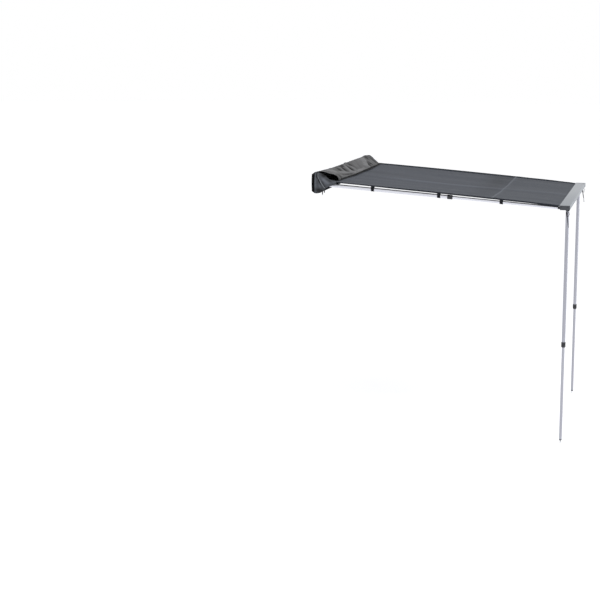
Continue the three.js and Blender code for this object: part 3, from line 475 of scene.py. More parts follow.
def turned(name: str, profile: Sequence[Range], sides: int = 64, looped: bool = False) -> Piece:
    """Turns a piece about Z: a circle is extruded and resized, ring by ring, up a profile.

    Args:
        name: the piece's name.
        profile: its rings as (radius, height) in millimetres.
        sides: the facets round it.
        looped: whether the last ring closes on the first, as round a bore, or both are filled.

    Returns:
        The piece, closed, with its faces outwards.
    """
    clear_bench()
    profile = [(radius * MM, height * MM) for radius, height in profile]
    radius, height = profile[0]
    bpy.ops.mesh.primitive_circle_add(
        vertices=sides, radius=radius, fill_type="NOTHING" if looped else "NGON", location=(0, 0, height),
    )
    piece = active(name)
    with edit_mode(piece):
        for next_radius, next_height in [*profile[1:], *(profile[:1] if looped else [])]:
            bpy.ops.mesh.extrude_region_move(TRANSFORM_OT_translate={"value": (0, 0, next_height - height)})
            grow = next_radius / radius
            if abs(grow - 1) > 1e-9:
                bpy.ops.transform.resize(value=(grow, grow, 1), center_override=(0, 0, next_height))
            radius, height = next_radius, next_height
        bpy.ops.mesh.select_all(action="SELECT")
        if looped:
            bpy.ops.mesh.remove_doubles(threshold=0.001 * MM)
        bpy.ops.mesh.normals_make_consistent(inside=False)
    return settle(piece)


def block(name: str, low: Point, high: Point) -> Piece:
    """A cube set between two corners, in millimetres, which further tools shape.

    Args:
        name: the piece's name.
        low: the corner with the least of each.
        high: the corner with the most.

    Returns:
        The block.
    """
    clear_bench()
    middle = [(a + b) / 2 * MM for a, b in zip(low, high)]
    bpy.ops.mesh.primitive_cube_add(size=1, location=middle, scale=[(b - a) * MM for a, b in zip(low, high)])
    return settle(active(name))


def modify(piece: Piece, kind: str, **settings: object) -> Piece:
    """Adds a modifier of a kind with its settings and applies it at once.

    Args:
        piece: the piece.
        kind: Blender's name for its type.
        settings: its own properties.

    Returns:
        The piece.
    """
    take(piece)
    bpy.ops.object.modifier_add(type=kind)
    modifier = piece.modifiers[-1]
    for name, value in settings.items():
        setattr(modifier, name, value)
    bpy.ops.object.modifier_apply(modifier=modifier.name)
    return piece


def round_edges(piece: Piece, width: float, segments: int = 2) -> Piece:
    """Rounds a piece's sharp edges, to a width in millimetres, and shades it smooth between them.

    Args:
        piece: the piece.
        width: the rounding's width in millimetres.
        segments: the rounding's steps.

    Returns:
        The piece.
    """
    sharp = math.radians(SHARP)
    modify(piece, "BEVEL", width=width * MM, segments=segments, limit_method="ANGLE", angle_limit=sharp)
    return smooth(piece)


def smooth(piece: Piece, angle: float = SHARP) -> Piece:
    """Shades a piece smooth where its faces turn less than an angle in degrees.

    Args:
        piece: the piece.
        angle: the angle in degrees.

    Returns:
        The piece.
    """
    take(piece)
    bpy.ops.object.shade_smooth_by_angle(angle=math.radians(angle))
    return piece


def refined(node: str, width: float, segments: int = 2) -> Piece:
    """Copies a rigid node's mesh, joins its loose triangles into clean faces and rounds its edges.

    Args:
        node: the node's name.
        width: the rounding's width in millimetres.
        segments: the rounding's steps.

    Returns:
        The new piece, which can stand for the node.
    """
    piece = add_object(f"{node}_dressed", frame["nodes"][node].data.copy())
    with edit_mode(piece):
        bpy.ops.mesh.remove_doubles(threshold=0.002 * MM)
        bpy.ops.mesh.dissolve_limited(angle_limit=math.radians(1.5))
    return round_edges(piece, width, segments)


def join(name: str, pieces: Iterable[Piece]) -> Piece:
    """Joins pieces of one finish into one mesh with a name.

    Args:
        name: the piece's name.
        pieces: the pieces, which are used up.

    Returns:
        The joined piece.
    """
    pieces = list(pieces)
    take(pieces[0])
    for piece in pieces:
        piece.select_set(True)
    bpy.ops.object.join()
    pieces[0].name = pieces[0].data.name = name
    return pieces[0]


def repeated(name: str, pattern: Piece, places: Sequence[Matrix]) -> Piece:
    """Makes one mesh of many copies of a small pattern piece and removes the pattern.

    Args:
        name: the new piece's name.
        pattern: the small piece, at the origin.
        places: where each copy goes.

    Returns:
        The piece that holds all the copies.
    """
    corners = np.array([v.co for v in pattern.data.vertices])
    faces = [tuple(p.vertices) for p in pattern.data.polygons]
    moves = np.array([np.array(place) for place in places])
    points = np.einsum("nij,kj->nki", moves[:, :3, :3], corners) + moves[:, None, :3, 3]
    count = len(corners)
    mesh = bpy.data.meshes.new(name)
    mesh.from_pydata(
        points.reshape(-1, 3).tolist(), [],
        [tuple(i + count * n for i in f) for n in range(len(places)) for f in faces],
    )
    bpy.data.objects.remove(pattern)
    return smooth(add_object(name, mesh))


def cloth(
    name: str, place: Place, columns: int, rows: int, flat: tuple[float, float], thickness: float,
    fold: Callable[[float, float], float] | None = None,
) -> Piece:
    """Lays a grid over a surface, with a UV map in metres of flat cloth, and gives it a thickness.

    Args:
        name: the piece's name.
        place: the surface's point at u across and v along, both from 0 to 1.
        columns: faces across.
        rows: faces along.
        flat: the cut cloth's width and length in metres.
        thickness: the cloth's thickness in metres.
        fold: how deep or how high in a fold a point lies, from 0 to 1, kept as an attribute that paints shade
            and highlights.

    Returns:
        The piece, closed, with a smooth surface.
    """
    clear_bench()
    bpy.ops.mesh.primitive_grid_add(x_subdivisions=columns, y_subdivisions=rows, size=1, calc_uvs=True)
    piece = active(name)
    marks = [(vertex.co.x + 0.5, 0.5 - vertex.co.y) for vertex in piece.data.vertices]
    if fold is not None:
        kept = piece.data.attributes.new(PAINTED_FOLD_LIGHT, "FLOAT", "POINT")
        kept.data.foreach_set("value", [min(max(fold(*mark), 0.0), 1.0) for mark in marks])
    for vertex, mark in zip(piece.data.vertices, marks):
        vertex.co = place(*mark)
    for corner in piece.data.uv_layers.active.data:
        corner.uv = (corner.uv[0] * flat[0], (1 - corner.uv[1]) * flat[1])
    modify(piece, "SOLIDIFY", thickness=thickness, offset=0.0, use_even_offset=False)
    return smooth(piece, 60)


def dress(piece: Piece, finish: Finish, *stands_for: str, body: str | None = None) -> Piece:
    """Gives a finished piece its material and its body, and hides the nodes that it stands for.

    Args:
        piece: the finished piece.
        finish: its finish.
        stands_for: the nodes that it replaces.
        body: the body that it moves with, if it isn't the first node's own.

    Returns:
        The piece.
    """
    piece.data.materials.clear()
    piece.data.materials.append(finish.material())
    home = body or HOME[stands_for[0]]
    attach(piece, home)
    if stands_for:
        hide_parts(*stands_for)
    LOG.info("%s rides on %s", piece.name, home)
    return piece


def combine(piece: Piece, other: Piece, operation: str) -> Piece:
    """Joins another closed piece to one (UNION) or cuts it out of it (DIFFERENCE), and removes it.

    Args:
        piece: the piece.
        other: the piece that is used up.
        operation: UNION or DIFFERENCE.

    Returns:
        The piece.
    """
    modify(piece, "BOOLEAN", object=other, operation=operation, solver="EXACT")
    bpy.data.objects.remove(other)
    return piece


def tube_along(name: str, points: Sequence[Point], radius: float, sides: int = 3) -> Piece:
    """Draws a round cord of a radius along a line of points and keeps it as an open curve.

    Args:
        name: the piece's name.
        points: the line's points in metres.
        radius: its radius in metres.
        sides: how finely it is rounded.

    Returns:
        The curve.
    """
    curve = bpy.data.curves.new(name, "CURVE")
    curve.dimensions = "3D"
    curve.bevel_depth = radius
    curve.bevel_resolution = sides
    curve.use_fill_caps = True
    spline = curve.splines.new("POLY")
    spline.points.add(len(points) - 1)
    for known, point in zip(spline.points, points):
        known.co = (*point, 1.0)
    return add_object(name, curve)


def as_mesh(piece: Piece) -> Piece:
    """Turns a curve into a smooth mesh.

    Args:
        piece: the curve.

    Returns:
        The mesh.
    """
    take(piece)
    bpy.ops.object.convert(target="MESH")
    return smooth(bpy.context.active_object, 50)


def ease(low: float, high: float, value: float) -> float:
    """A smooth step from 0 at low to 1 at high."""
    share = min(max((value - low) / (high - low), 0.0), 1.0)
    return share * share * (3 - 2 * share)


def spline(points: np.ndarray, share: float, tension: float = 0.5) -> np.ndarray:
    """A point on the smooth line through evenly counted points.

    Args:
        points: the known points as rows.
        share: how far along the line, from 0 to 1.
        tension: how strongly the neighbours pull the line's direction.

    Returns:
        The point.
    """
    count = len(points) - 1
    where = min(max(share, 0.0), 1.0) * count
    i = min(int(where), count - 1)
    t = where - i
    start, end = points[i], points[i + 1]
    leave = tension * (end - (points[i - 1] if i > 0 else 2 * start - end))
    arrive = tension * ((points[i + 2] if i + 2 <= count else 2 * end - start) - start)
    return (
        (2 * t**3 - 3 * t**2 + 1) * start + (t**3 - 2 * t**2 + t) * leave
        + (3 * t**2 - 2 * t**3) * end + (t**3 - t**2) * arrive
    )


def through(points: Sequence[Sequence[float]], tension: float, steps: int) -> np.ndarray:
    """A smooth line through a few points, with so many steps in each stretch, as rows.

    Args:
        points: the few points.
        tension: how strongly neighbours pull the line's direction.
        steps: the steps in each stretch.

    Returns:
        The line's points as rows.
    """
    known = np.array(points, float)
    count = (len(known) - 1) * steps
    return np.array([spline(known, i / count, tension) for i in range(count + 1)])


@dataclass
class Line:
    """A line of points that is read by its share of length."""

    points: np.ndarray

    def __post_init__(self) -> None:
        """Measures the line."""
        steps = np.linalg.norm(np.diff(self.points, axis=0), axis=1)
        self.reached = np.concatenate([[0.0], np.cumsum(steps)])

    @property
    def length(self) -> float:
        """The line's length."""
        return float(self.reached[-1])

    def at(self, share: float) -> np.ndarray:
        """The point at a share of the line's length."""
        where = min(max(share, 0.0), 1.0) * self.length
        return np.array([np.interp(where, self.reached, axis) for axis in self.points.T])


def stitch_row(
    name: str, place: Callable[[float], Point], length: float, up: Point, pitch: float = 7 * MM
) -> Piece:
    """Sews a row of single stitches along a line.

    Args:
        name: the row's name.
        place: the line's point at a share from 0 to 1.
        length: the line's length in metres.
        up: the direction out of the cloth.
        pitch: the distance from one stitch to the next.

    Returns:
        The row as one piece.
    """
    clear_bench()
    bpy.ops.mesh.primitive_uv_sphere_add(
        segments=6, ring_count=4, radius=1, scale=(0.34 * pitch, 0.45 * MM, 0.45 * MM),
    )
    pattern = settle(bpy.context.active_object)
    count = max(int(length / pitch), 1)
    places = []
    for i in range(count):
        here, ahead = Vector(place((i + 0.3) / count)), Vector(place((i + 0.7) / count))
        along = (ahead - here).normalized()
        across = Vector(up).cross(along).normalized()
        turn = Matrix((along, across, along.cross(across))).transposed().to_4x4()
        places.append(Matrix.Translation((here + ahead) / 2) @ turn)
    return repeated(name, pattern, places)


# The studio


@dataclass
class Studio:
    """Plain floor, soft light and the camera that sees the awning as it was photographed."""

    camera_place: Point = (-14.104, -2.826, 1.2267)
    yaw: float = 0.22071  # from +X towards +Y, in radians
    pitch: float = -0.15926
    roll: float = 0.0069
    focal_pixels: float = 1699.3
    ground: float = -1.99
    floor_radius: float = 60.0
    floor_glow: float = 0.53  # what brings the far floor up to the white behind it
    sky: float = 0.55  # how strongly the world lights the awning
    lamps: tuple = (  # name, place, target, side in metres, watts
        ("key_light", (-5.0, -6.0, 6.5), (0, -1.0, -0.3), 3.2, 330),
        ("fill_light", (-3.0, 7.0, 3.0), (0, -0.8, -0.6), 5.0, 50),
        ("side_light", (2.5, -7.5, -0.4), (0, -1.9, -1.0), 2.2, 50),
    )

    def camera(self) -> None:
        """Sets up the camera at the photograph's place and angle."""
        level_ahead = Vector((math.cos(self.yaw), math.sin(self.yaw), 0))
        ahead = level_ahead * math.cos(self.pitch) + Vector((0, 0, math.sin(self.pitch)))
        right = Vector((level_ahead.y, -level_ahead.x, 0))
        up = right.cross(ahead)
        level = Matrix((right, up, -ahead)).transposed()
        rolled = level @ Matrix.Rotation(self.roll, 3, "Z")
        data = bpy.data.cameras.new("camera")
        data.sensor_width = 36.0
        data.lens = self.focal_pixels * data.sensor_width / IMAGE_SIDE
        data.clip_end = 200.0
        camera = add_object("camera", data)
        camera.matrix_world = Matrix.Translation(self.camera_place) @ rolled.to_4x4()
        bpy.context.scene.camera = camera

    @staticmethod
    def shown(tree: Tree) -> Socket:
        """What is 1 for rays from the camera, off gloss and through glass, and 0 for all others.

        Args:
            tree: the material's node tree.

        Returns:
            The output.
        """
        path = add_node(tree, "LightPath")
        seen = path.outputs["Is Camera Ray"]
        for kind in ("Glossy", "Transmission"):
            both = {0: seen, 1: path.outputs[f"Is {kind} Ray"]}
            seen = add_node(tree, "Math", both, operation="MAXIMUM").outputs[0]
        return seen

    def floor(self) -> None:
        """Lays the pale floor."""
        clear_bench()
        bpy.ops.mesh.primitive_circle_add(
            vertices=96, radius=self.floor_radius, fill_type="NGON", location=(0, 0, self.ground),
        )
        floor = active("floor")
        material = bpy.data.materials.new("studio_floor")
        material.use_nodes = True
        tree = material.node_tree
        glow = {0: self.shown(tree), 1: self.floor_glow}
        fill(tree, tree.nodes["Principled BSDF"], {
            "Base Color": linear("f4f4f5"), "Roughness": 0.9, "Specular IOR Level": 0.1,
            "Emission Color": linear("ffffff"),
            "Emission Strength": add_node(tree, "Math", glow, operation="MULTIPLY").outputs[0],
        })
        floor.data.materials.append(material)

    def world(self) -> None:
        """Lights everything evenly and shows white to the camera and in gloss."""
        world = bpy.data.worlds.new("studio")
        bpy.context.scene.world = world
        world.use_nodes = True
        tree = world.node_tree
        lit = tree.nodes["Background"]
        fill(tree, lit, {"Color": linear("fbfcff"), "Strength": self.sky})
        white = add_node(tree, "Background", {"Color": linear("ffffff"), "Strength": 1.0})
        both = add_node(tree, "MixShader", {0: self.shown(tree), 1: lit.outputs[0], 2: white.outputs[0]})
        fill(tree, tree.nodes["World Output"], {"Surface": both.outputs[0]})

    def lamp(self, name: str, place: Point, target: Point, size: float, power: float) -> None:
        """Hangs a square soft box that faces a point.

        Args:
            name: the lamp's name.
            place: where it hangs.
            target: what it faces.
            size: its side in metres.
            power: its power in watts.
        """
        data = bpy.data.lights.new(name, "AREA")
        data.size = size
        data.energy = power
        lamp = add_object(name, data)
        lamp.location = place
        lamp.rotation_euler = (Vector(target) - Vector(place)).to_track_quat("-Z", "Y").to_euler()

    def build(self) -> None:
        """Sets up the camera, floor and lights."""
        self.camera()
        self.floor()
        self.world()
        for lamp in self.lamps:
            self.lamp(*lamp)
        bpy.context.scene.view_settings.view_transform = "Standard"


# The canopy


@dataclass
class Canopy:
    """The cloth between the backboard and the front bar, with its bound edges and seam; Strap hangs it on the
    rafters.
    """

    width: float = 2000 * MM
    start: float = 15.4 * MM
    length: float = 1911.2 * MM
    height: float = 26 * MM  # where it leaves the backboard
    board_depth: float = 22 * MM
    bar_edge: float = 1920 * MM
    bar_height: float = -116.6 * MM
    sag: float = 11 * MM
    camber: float = 8 * MM  # how far its edges stand over its middle, apart from the sag
    flat_length: float = 1.934
    thickness: float = 1.1 * MM
    hem_widths: tuple[float, float] = (50 * MM, 85 * MM)  # left and right; the right one is drawn wider than its real hem so that its dark tape also stands for the shade where the far edge falls away, part real hem and part painted shade
    hem_drop: float = 6.5 * MM
    seam_share: float = 0.722
    seam_width: float = 18 * MM
    columns: int = 120
    rows: int = 150
    travel: float = 0.76
    slide_axis: Point = (0.0, 0.9975386, 0.0701195)

    def surface(self, x: float, outward: float) -> float:
        """The height of the cloth's middle, at x along the vehicle and so far outward from it.

        Args:
            x: the place along the vehicle.
            outward: how far it lies from the vehicle.

        Returns:
            The height in the row frame.
        """
        across = min(max(x / self.width + 0.5, 0.0), 1.0)
        along = min(max((outward - self.start) / self.length, 0.0), 1.0)
        free = min(max(outward, self.board_depth), self.bar_edge)
        fall = (self.height - self.bar_height) / (self.bar_edge - self.board_depth)
        level = self.height - (free - self.board_depth) * fall
        bow = 4 * across * (1 - across)
        camber = self.camber * math.sin(math.pi * along) ** 0.5 * (1 - bow) * (1 - ease(0.965, 1.0, along))
        ripple = 0.18 * math.sin(9 * math.pi * across) * math.sin(3 * math.pi * along)
        slack = self.sag * math.sin(math.pi * along) ** 2 * bow * (1 - ripple)
        return level + camber - slack + self.wrinkles(across, along)

    def wrinkles(self, across: float, along: float) -> float:
        """The small waves of a stretched cloth: long ones between its ends, fine ones at its corners.

        Args:
            across: the share of the cloth's width, from the left.
            along: the share of its length, from the backboard.

        Returns:
            How far they raise the cloth.
        """
        held = min(1.0, 14 * along) * min(1.0, 14 * (1 - along))
        inward = min(1.0, 12 * across, 12 * (1 - across))
        lengthwise = noise.noise(Vector((11 * across, 1.3 * along, 0.4)))
        crossing = noise.noise(Vector((5 * across + 3 * along, 9 * along, 3.1)))
        corner = math.exp(-10 * min(across, 1 - across)) * math.exp(-7 * (1 - along))
        pulled = math.sin(60 * (across if across < 0.5 else 1 - across) - 34 * (1 - along))
        after_seam = math.exp(-(((along - self.seam_share - 0.016) / 0.011) ** 2))
        before_seam = math.exp(-(((along - self.seam_share + 0.013) / 0.012) ** 2))
        streak = math.exp(-(((across - 0.42 - 0.05 * along) / 0.035) ** 2)) * ease(0.02, 0.2, along)
        return MM * held * (
            3.0 * lengthwise * inward + 1.4 * crossing * inward + 1.4 * corner * pulled
            + (0.2 + 0.8 * inward) * (3.4 * after_seam - 2.4 * before_seam) + 3.5 * streak
        )

    def shade(self, across: float, along: float) -> float:
        """Painted light on the cloth at a place: painted shade over the slack before the seam, a painted
        highlight on the stretched band past it and along a lengthwise streak.

        Args:
            across: the share of the cloth's width, from the left.
            along: the share of its length, from the backboard.

        Returns:
            The fold attribute's value, 0.5 where the cloth is plain.
        """
        past = along - self.seam_share
        # painted shade before the seam, painted highlights just past it and on the streak, and a little
        # random tone
        slack = math.exp(-((past + 0.05) / 0.06) ** 2) * (0.4 + 0.6 * across)
        taut_highlight = math.exp(-((past - 0.008) / 0.007) ** 2) * ease(0.02, 0.2, across)
        streak = math.exp(-(((across - 0.42 - 0.05 * along) / 0.03) ** 2)) * ease(0.1, 0.35, along)
        return 0.5 - 0.22 * slack + 0.18 * taut_highlight + 0.2 * streak + 0.05 * noise.noise(
            Vector((9 * across, 1.6 * along, 5.0))
        )

    def point(self, across: float, along: float, lift: float = 0.0) -> Point:
        """A point of the cloth, or one raised off it."""
        x, outward = (across - 0.5) * self.width, self.start + along * self.length
        return (x, -outward, self.surface(x, outward) + lift)

    def gather(self, piece: Piece) -> None:
        """Gives a piece its own copy of its mesh.

        Args:
            piece: the piece.
        """
        axis = Vector(self.slide_axis)
        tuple(self.slide_axis)
        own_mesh(piece)

    def hem(self, side: Side) -> Piece:
        """Binds one edge: a tape sewn on the cloth, turned down over its edge and back up inside.

        Args:
            side: which end of the awning.

        Returns:
            The tape.
        """
        edge = side.value * self.width / 2
        half, drop, bend = 0.95, self.hem_drop / MM, 0.5
        fold = Line(MM * np.array([
            (-self.hem_widths[side is Side.RIGHT] / MM, half), (-12, half), (-8.5, 2.6), (-5, 4.4),
            (-1.6, 3.8), (bend, 1.4), (bend, -drop),
            (0, -drop - bend), (-bend, -drop), (-bend, -2 * half), (-2, -half), (-14, -half),
        ]))

        def place(u: float, v: float) -> Point:
            """A point of the folded tape, which hangs a little unevenly.

            Args:
                u: the share round the fold.
                v: the share along, from 0 to 1.

            Returns:
                The point in the row frame.
            """
            inward, lift = fold.at(u)
            outward = self.board_depth + 1.2 * MM + v * (self.bar_edge - self.board_depth - 6.6 * MM)
            hung = min(max(-lift / self.hem_drop, 0.0), 1.0)
            sway = 1.2 * MM * hung * noise.noise(Vector((14 * outward, side.value, 2.0)))
            if inward > -half * MM:
                lift *= 0.35 + 0.65 * ease(0.1, 0.4, v)
            x = edge + side.value * (inward + sway)
            return (x, -outward, self.surface(min(max(x, -1.0), 1.0), outward) + lift)

        flat = (fold.length, self.bar_edge - self.board_depth)
        piece = cloth(f"canopy_{side.word}_hem", place, 44, self.rows, flat, 0.6 * MM)
        if side is Side.LEFT:
            with edit_mode(piece):
                bpy.ops.mesh.normals_make_consistent(inside=False)
        return piece

    def seam(self) -> Piece:
        """Lays the felled seam where the two panels of cloth are joined.

        Returns:
            The seam.
        """
        share = self.seam_width / self.length

        def place(u: float, v: float) -> Point:
            """A point of the seam's raised band."""
            along = self.seam_share + (v - 0.5) * share
            return self.point(0.008 + 0.984 * u, along, 0.75 * MM + 0.35 * MM * math.sin(math.pi * v))

        return cloth("canopy_seam", place, self.columns, 4, (self.width, self.seam_width), 0.7 * MM)

    def stitching(self) -> list[Piece]:
        """Sews the two rows of the seam and the row along each hem.

        Returns:
            The rows of stitches.
        """
        offset = 0.3 * self.seam_width / self.length
        rows = []
        for sign, word in ((-1, "inner"), (1, "outer")):
            rows.append(stitch_row(
                f"canopy_seam_{word}_stitches",
                lambda s, k=sign: self.point(0.01 + 0.98 * s, self.seam_share + k * offset, 1.45 * MM),
                self.width, (0, 0, 1),
            ))
        for side in Side:
            inset = (self.hem_widths[side is Side.RIGHT] - 4 * MM) / self.width
            across = inset if side is Side.LEFT else 1 - inset
            rows.append(stitch_row(
                f"canopy_{side.word}_hem_stitches",
                lambda s, a=across: self.point(a, 0.01 + 0.98 * s, 1.3 * MM), self.length, (0, 0, 1),
            ))
        return rows

    def build(self) -> None:
        """Makes the cloth, its edges, its seam and its stitches."""
        flat = (self.width, self.flat_length)
        sheet = cloth("canopy_cloth", self.point, self.columns, self.rows, flat, self.thickness, self.shade)
        dress(sheet, CANOPY_CLOTH, "canopy")
        self.gather(sheet)
        extras = [(self.hem(side), HEM_TAPE) for side in Side]
        extras.append((self.seam(), SEAM_CLOTH))
        extras += [(row, THREAD) for row in self.stitching()]
        for piece, finish in extras:
            dress(piece, finish, body="case")
            self.gather(piece)


@dataclass
class Strap:
    """A loop of webbing that hangs the canopy's hem on a rafter."""

    side: Side
    number: int
    canopy: Canopy
    width: float = 25.0
    thickness: float = 1.5

    def build(self) -> None:
        """Lays the loop from the hem, under the rafter and back, and sews its ends."""
        node = f"{self.side.word}_strap_{self.number}"
        low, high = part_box(node)
        slope = math.atan2(self.canopy.slide_axis[2], self.canopy.slide_axis[1])
        half_width = self.width / 2 * MM
        middle = (low + high) / 2
        outer = (high.x - low.x) / 2
        radius = outer - self.thickness / 2 * MM
        bottom = low.z + half_width * math.sin(slope)
        axis_height = bottom + outer
        top = max(high.z - half_width * math.sin(slope), self.canopy.surface(middle.x, -middle.y) - 1.6 * MM)
        arc = [
            (radius * math.cos(a), axis_height + radius * math.sin(a))
            for a in np.linspace(0, -math.pi, 17)
        ]
        line = Line(np.array([(radius, top), *arc, (-radius, top)]))

        def place(u: float, v: float) -> Point:
            """A point of the loop, at v round it and u along the rafter.

            Args:
                u: the share along the rafter.
                v: the share round it.

            Returns:
                The point in the row frame.
            """
            across, height = line.at(v)
            along = (u - 0.5) * self.width * MM
            return (middle.x + across, middle.y - along * math.cos(slope), height - along * math.sin(slope))

        loop = cloth(node + "_loop", place, 8, 44, (self.width * MM, line.length), self.thickness * MM)
        dress(loop, WEBBING, node)
        self.canopy.gather(loop)
        face = self.side.value * (outer + 0.35 * MM)
        room = top - axis_height
        corners = [(-0.34, 0.12), (0.34, 0.12), (0.34, 0.88), (-0.34, 0.88), (-0.34, 0.12), (0.34, 0.88)]
        width = self.width * MM
        seam = Line(np.array([
            (middle.x + face, middle.y - a * width, axis_height + h * room - a * width * slope)
            for a, h in corners
        ]))
        sewing = stitch_row(
            node + "_stitches", lambda s: tuple(seam.at(s)), seam.length, (self.side.value, 0, 0), 2.6 * MM,
        )
        dress(sewing, THREAD, body="case")
        self.canopy.gather(sewing)


# The poles


@dataclass
class Pole:
    """A telescoping pole: knuckle, outer tube, twist lock, inner tube and end piece on its pin.

    It is made on a bench where Z runs away from the pin, and heights are in millimetres from it.
    """

    prefix: str
    outer: str
    inner: str
    run: Vector
    finish: Finish
    pin_place: Vector = field(init=False)
    bench: Matrix = field(init=False)

    def __post_init__(self) -> None:
        """Finds the pin and the turn from the bench to the row frame."""
        low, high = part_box(f"{self.prefix}_pin")
        self.pin_place = (low + high) / 2
        sideways = Vector((1, 0, 0))
        turn = Matrix((sideways, self.run.cross(sideways), self.run)).transposed()
        self.bench = Matrix.Translation(self.pin_place) @ turn.to_4x4()

    def span(self, node: str) -> tuple[float, float]:
        """How far from the pin a node begins and ends along the pole, in millimetres."""
        along = [(v.co - self.pin_place).dot(self.run) / MM for v in frame["nodes"][node].data.vertices]
        return min(along), max(along)

    def set_up(self, piece: Piece, finish: Finish, node: str) -> Piece:
        """Moves a piece from the bench to its place and dresses it."""
        return dress(settle(piece, self.bench), finish, node)

    def tube(self, node: str, radius: float, bore: float, bush: float = 0.0) -> None:
        """Turns a drawn tube with eased rims and, if it has one, the bush swaged on its first end.

        Args:
            node: the node that it stands for.
            radius: its outer radius.
            bore: its inner radius.
            bush: the bush's radius, or 0 for a plain tube.
        """
        start, end = self.span(node)
        rim = 0.35
        first = bush or radius
        rings = [(bore + rim, start), (first - rim, start), (first, start + rim)]
        if bush:
            rings += [(bush, start + 12), (radius, start + 14)]
        rings += [(radius, end - rim), (radius - rim, end), (bore + rim, end)]
        rings += [(bore, end - rim), (bore, start + rim)]
        piece = turned(node + "_drawn", rings, 64, looped=True)
        self.set_up(smooth(piece), self.finish, node)

    def collar(self, flutes: int = 10, bite: float = 1.5) -> None:
        """Turns the twist lock and presses its flutes into the grip.

        Args:
            flutes: how many flutes it has.
            bite: how deep each is, in millimetres.
        """
        node = f"{self.prefix}_lock_collar"
        start, end = self.span(node)
        radius, wide, small, nose = 17.02, 14.53, 11.56, 13.55
        split, step = end - 17.0, end - 17.7
        grip = [(radius, start + 1.4 + share * (split - start - 2.8)) for share in np.linspace(0, 1, 15)]
        rings = [
            (wide, start), (radius - 1.2, start), (radius - 0.4, start + 0.4), *grip,
            (radius - 0.9, split - 0.6), (radius - 0.9, split + 0.6), (radius, split + 1.4),
            (radius, end - 5.4), (radius - 0.5, end - 4.6), (nose, end - 0.5), (nose - 0.5, end),
            (small, end), (small, step), (wide, step),
        ]
        piece = turned(node + "_turned", rings, 8 * flutes, looped=True)
        for vertex in piece.data.vertices:
            height = vertex.co.z / MM
            if vertex.co.xy.length / MM > radius - 0.1 and height < split - 1.0:
                angle = math.atan2(vertex.co.y, vertex.co.x)
                pressed = max(0.0, math.cos(flutes * angle)) ** 1.5
                pressed *= ease(start + 2.2, start + 5.0, height)
                pressed *= 1 - ease(split - 4.6, split - 1.8, height)
                vertex.co.xy *= 1 - bite * pressed / radius
        self.set_up(smooth(piece, 28), MOULDING, node)

    def knuckle(self) -> None:
        """Builds the eye, the neck, the shoulder and the plug of the knuckle as one moulding."""
        node = f"{self.prefix}_knuckle"
        eye = settle(turned(node + "_moulded", [(9, -7), (9, 7)]), QUARTER_X)
        neck = block("neck", (-9.4, -7, 0), (9.4, 7, 21.5))
        plug = turned("plug", [
            (12.6, 19), (14, 20.2), (14, 23.7), (12.0, 23.7), (12.0, 52.5), (10.6, 54),
        ])
        combine(eye, neck, "UNION")
        combine(eye, plug, "UNION")
        combine(eye, settle(turned("bore", [(4.5, -9), (4.5, 9)], 48), QUARTER_X), "DIFFERENCE")
        self.set_up(round_edges(eye, 0.6), MOULDING, node)

    def pin(self) -> None:
        """Turns the pin with a domed head at each end."""
        node = f"{self.prefix}_pin"
        head = [(1.6, 12.7), (3.6, 12.4), (5.4, 11.8), (6.4, 10.9), (6.5, 10.6), (4.0, 10.6)]
        rings = [(radius, -height) for radius, height in head] + head[::-1]
        piece = settle(turned(node + "_turned", rings, 48), QUARTER_X)
        self.set_up(smooth(piece), STEEL, node)

    def rivets(self) -> None:
        """Sets the two rivets that hold the outer tube to the knuckle's plug."""
        pattern = turned("rivet", [(2.6, 0), (2.4, 0.5), (1.7, 0.9), (0.6, 1.1)], 24)
        start = self.span(f"{self.prefix}_{self.outer}")[0]
        places = [
            self.bench @ Matrix.Translation((side * 13.9 * MM, 0, (start + 14) * MM))
            @ Matrix.Rotation(side * math.radians(90), 4, "Y")
            for side in (-1, 1)
        ]
        rivets = repeated(f"{self.prefix}_tube_rivets", pattern, places)
        dress(rivets, STEEL, body=HOME[f"{self.prefix}_{self.outer}"])

    def build(self) -> None:
        """Makes every piece of the pole but its end."""
        self.knuckle()
        self.pin()
        self.tube(f"{self.prefix}_{self.outer}", 14.0, 12.5)
        self.tube(f"{self.prefix}_{self.inner}", 11.01, 9.51, bush=12.0)
        self.collar()
        self.rivets()
        bracket = f"{self.prefix}_bracket"
        dress(refined(bracket, 0.4), COATED_STEEL, bracket)


@dataclass
class Rafter(Pole):
    """A rafter, which runs from the backboard down to the front bar."""

    @classmethod
    def on(cls, side: Side) -> "Rafter":
        """The rafter at one end of the awning."""
        return cls(f"{side.word}_rafter", "outer_tube", "inner_tube", -Vector(Canopy.slide_axis), RAFTER_TUBE)

    def build(self) -> None:
        """Makes the pole and its flat-tongued tip."""
        super().build()
        tip = f"{self.prefix}_tip"
        dress(refined(tip, 0.5), MOULDING, tip)


@dataclass
class Leg(Pole):
    """A leg, which hangs from the front bar to the ground."""

    @classmethod
    def on(cls, side: Side) -> "Leg":
        """The leg at one end of the awning."""
        return cls(f"{side.word}_leg", "upper_tube", "lower_tube", Vector((0, 0, -1)), LEG_TUBE)

    def build(self) -> None:
        """Makes the pole and its foot with the spike."""
        super().build()
        node = f"{self.prefix}_foot"
        start, tip = self.span(node)
        end = self.span(f"{self.prefix}_{self.inner}")[1]
        foot = turned(node + "_turned", [
            (8.7, start), (9.2, start + 0.6), (9.2, end + 0.3), (10.6, end + 0.3), (11.01, end + 0.7),
            (11.01, end + 5.6), (10.4, end + 6.6), (8.8, end + 7.7), (5.6, end + 8.2), (4.4, end + 9.4),
        ], 56)
        spike = turned(node + "_spike", [
            (4.2, end + 9.1), (4.2, end + 10), (4.0, end + 11), (4.0, tip - 7), (3.4, tip - 4),
            (2.0, tip - 1.4), (0.5, tip),
        ], 40)
        self.set_up(smooth(foot, 30), MOULDING, node)
        dress(settle(smooth(spike, 30), self.bench), STEEL, body=HOME[node])


# The front bar


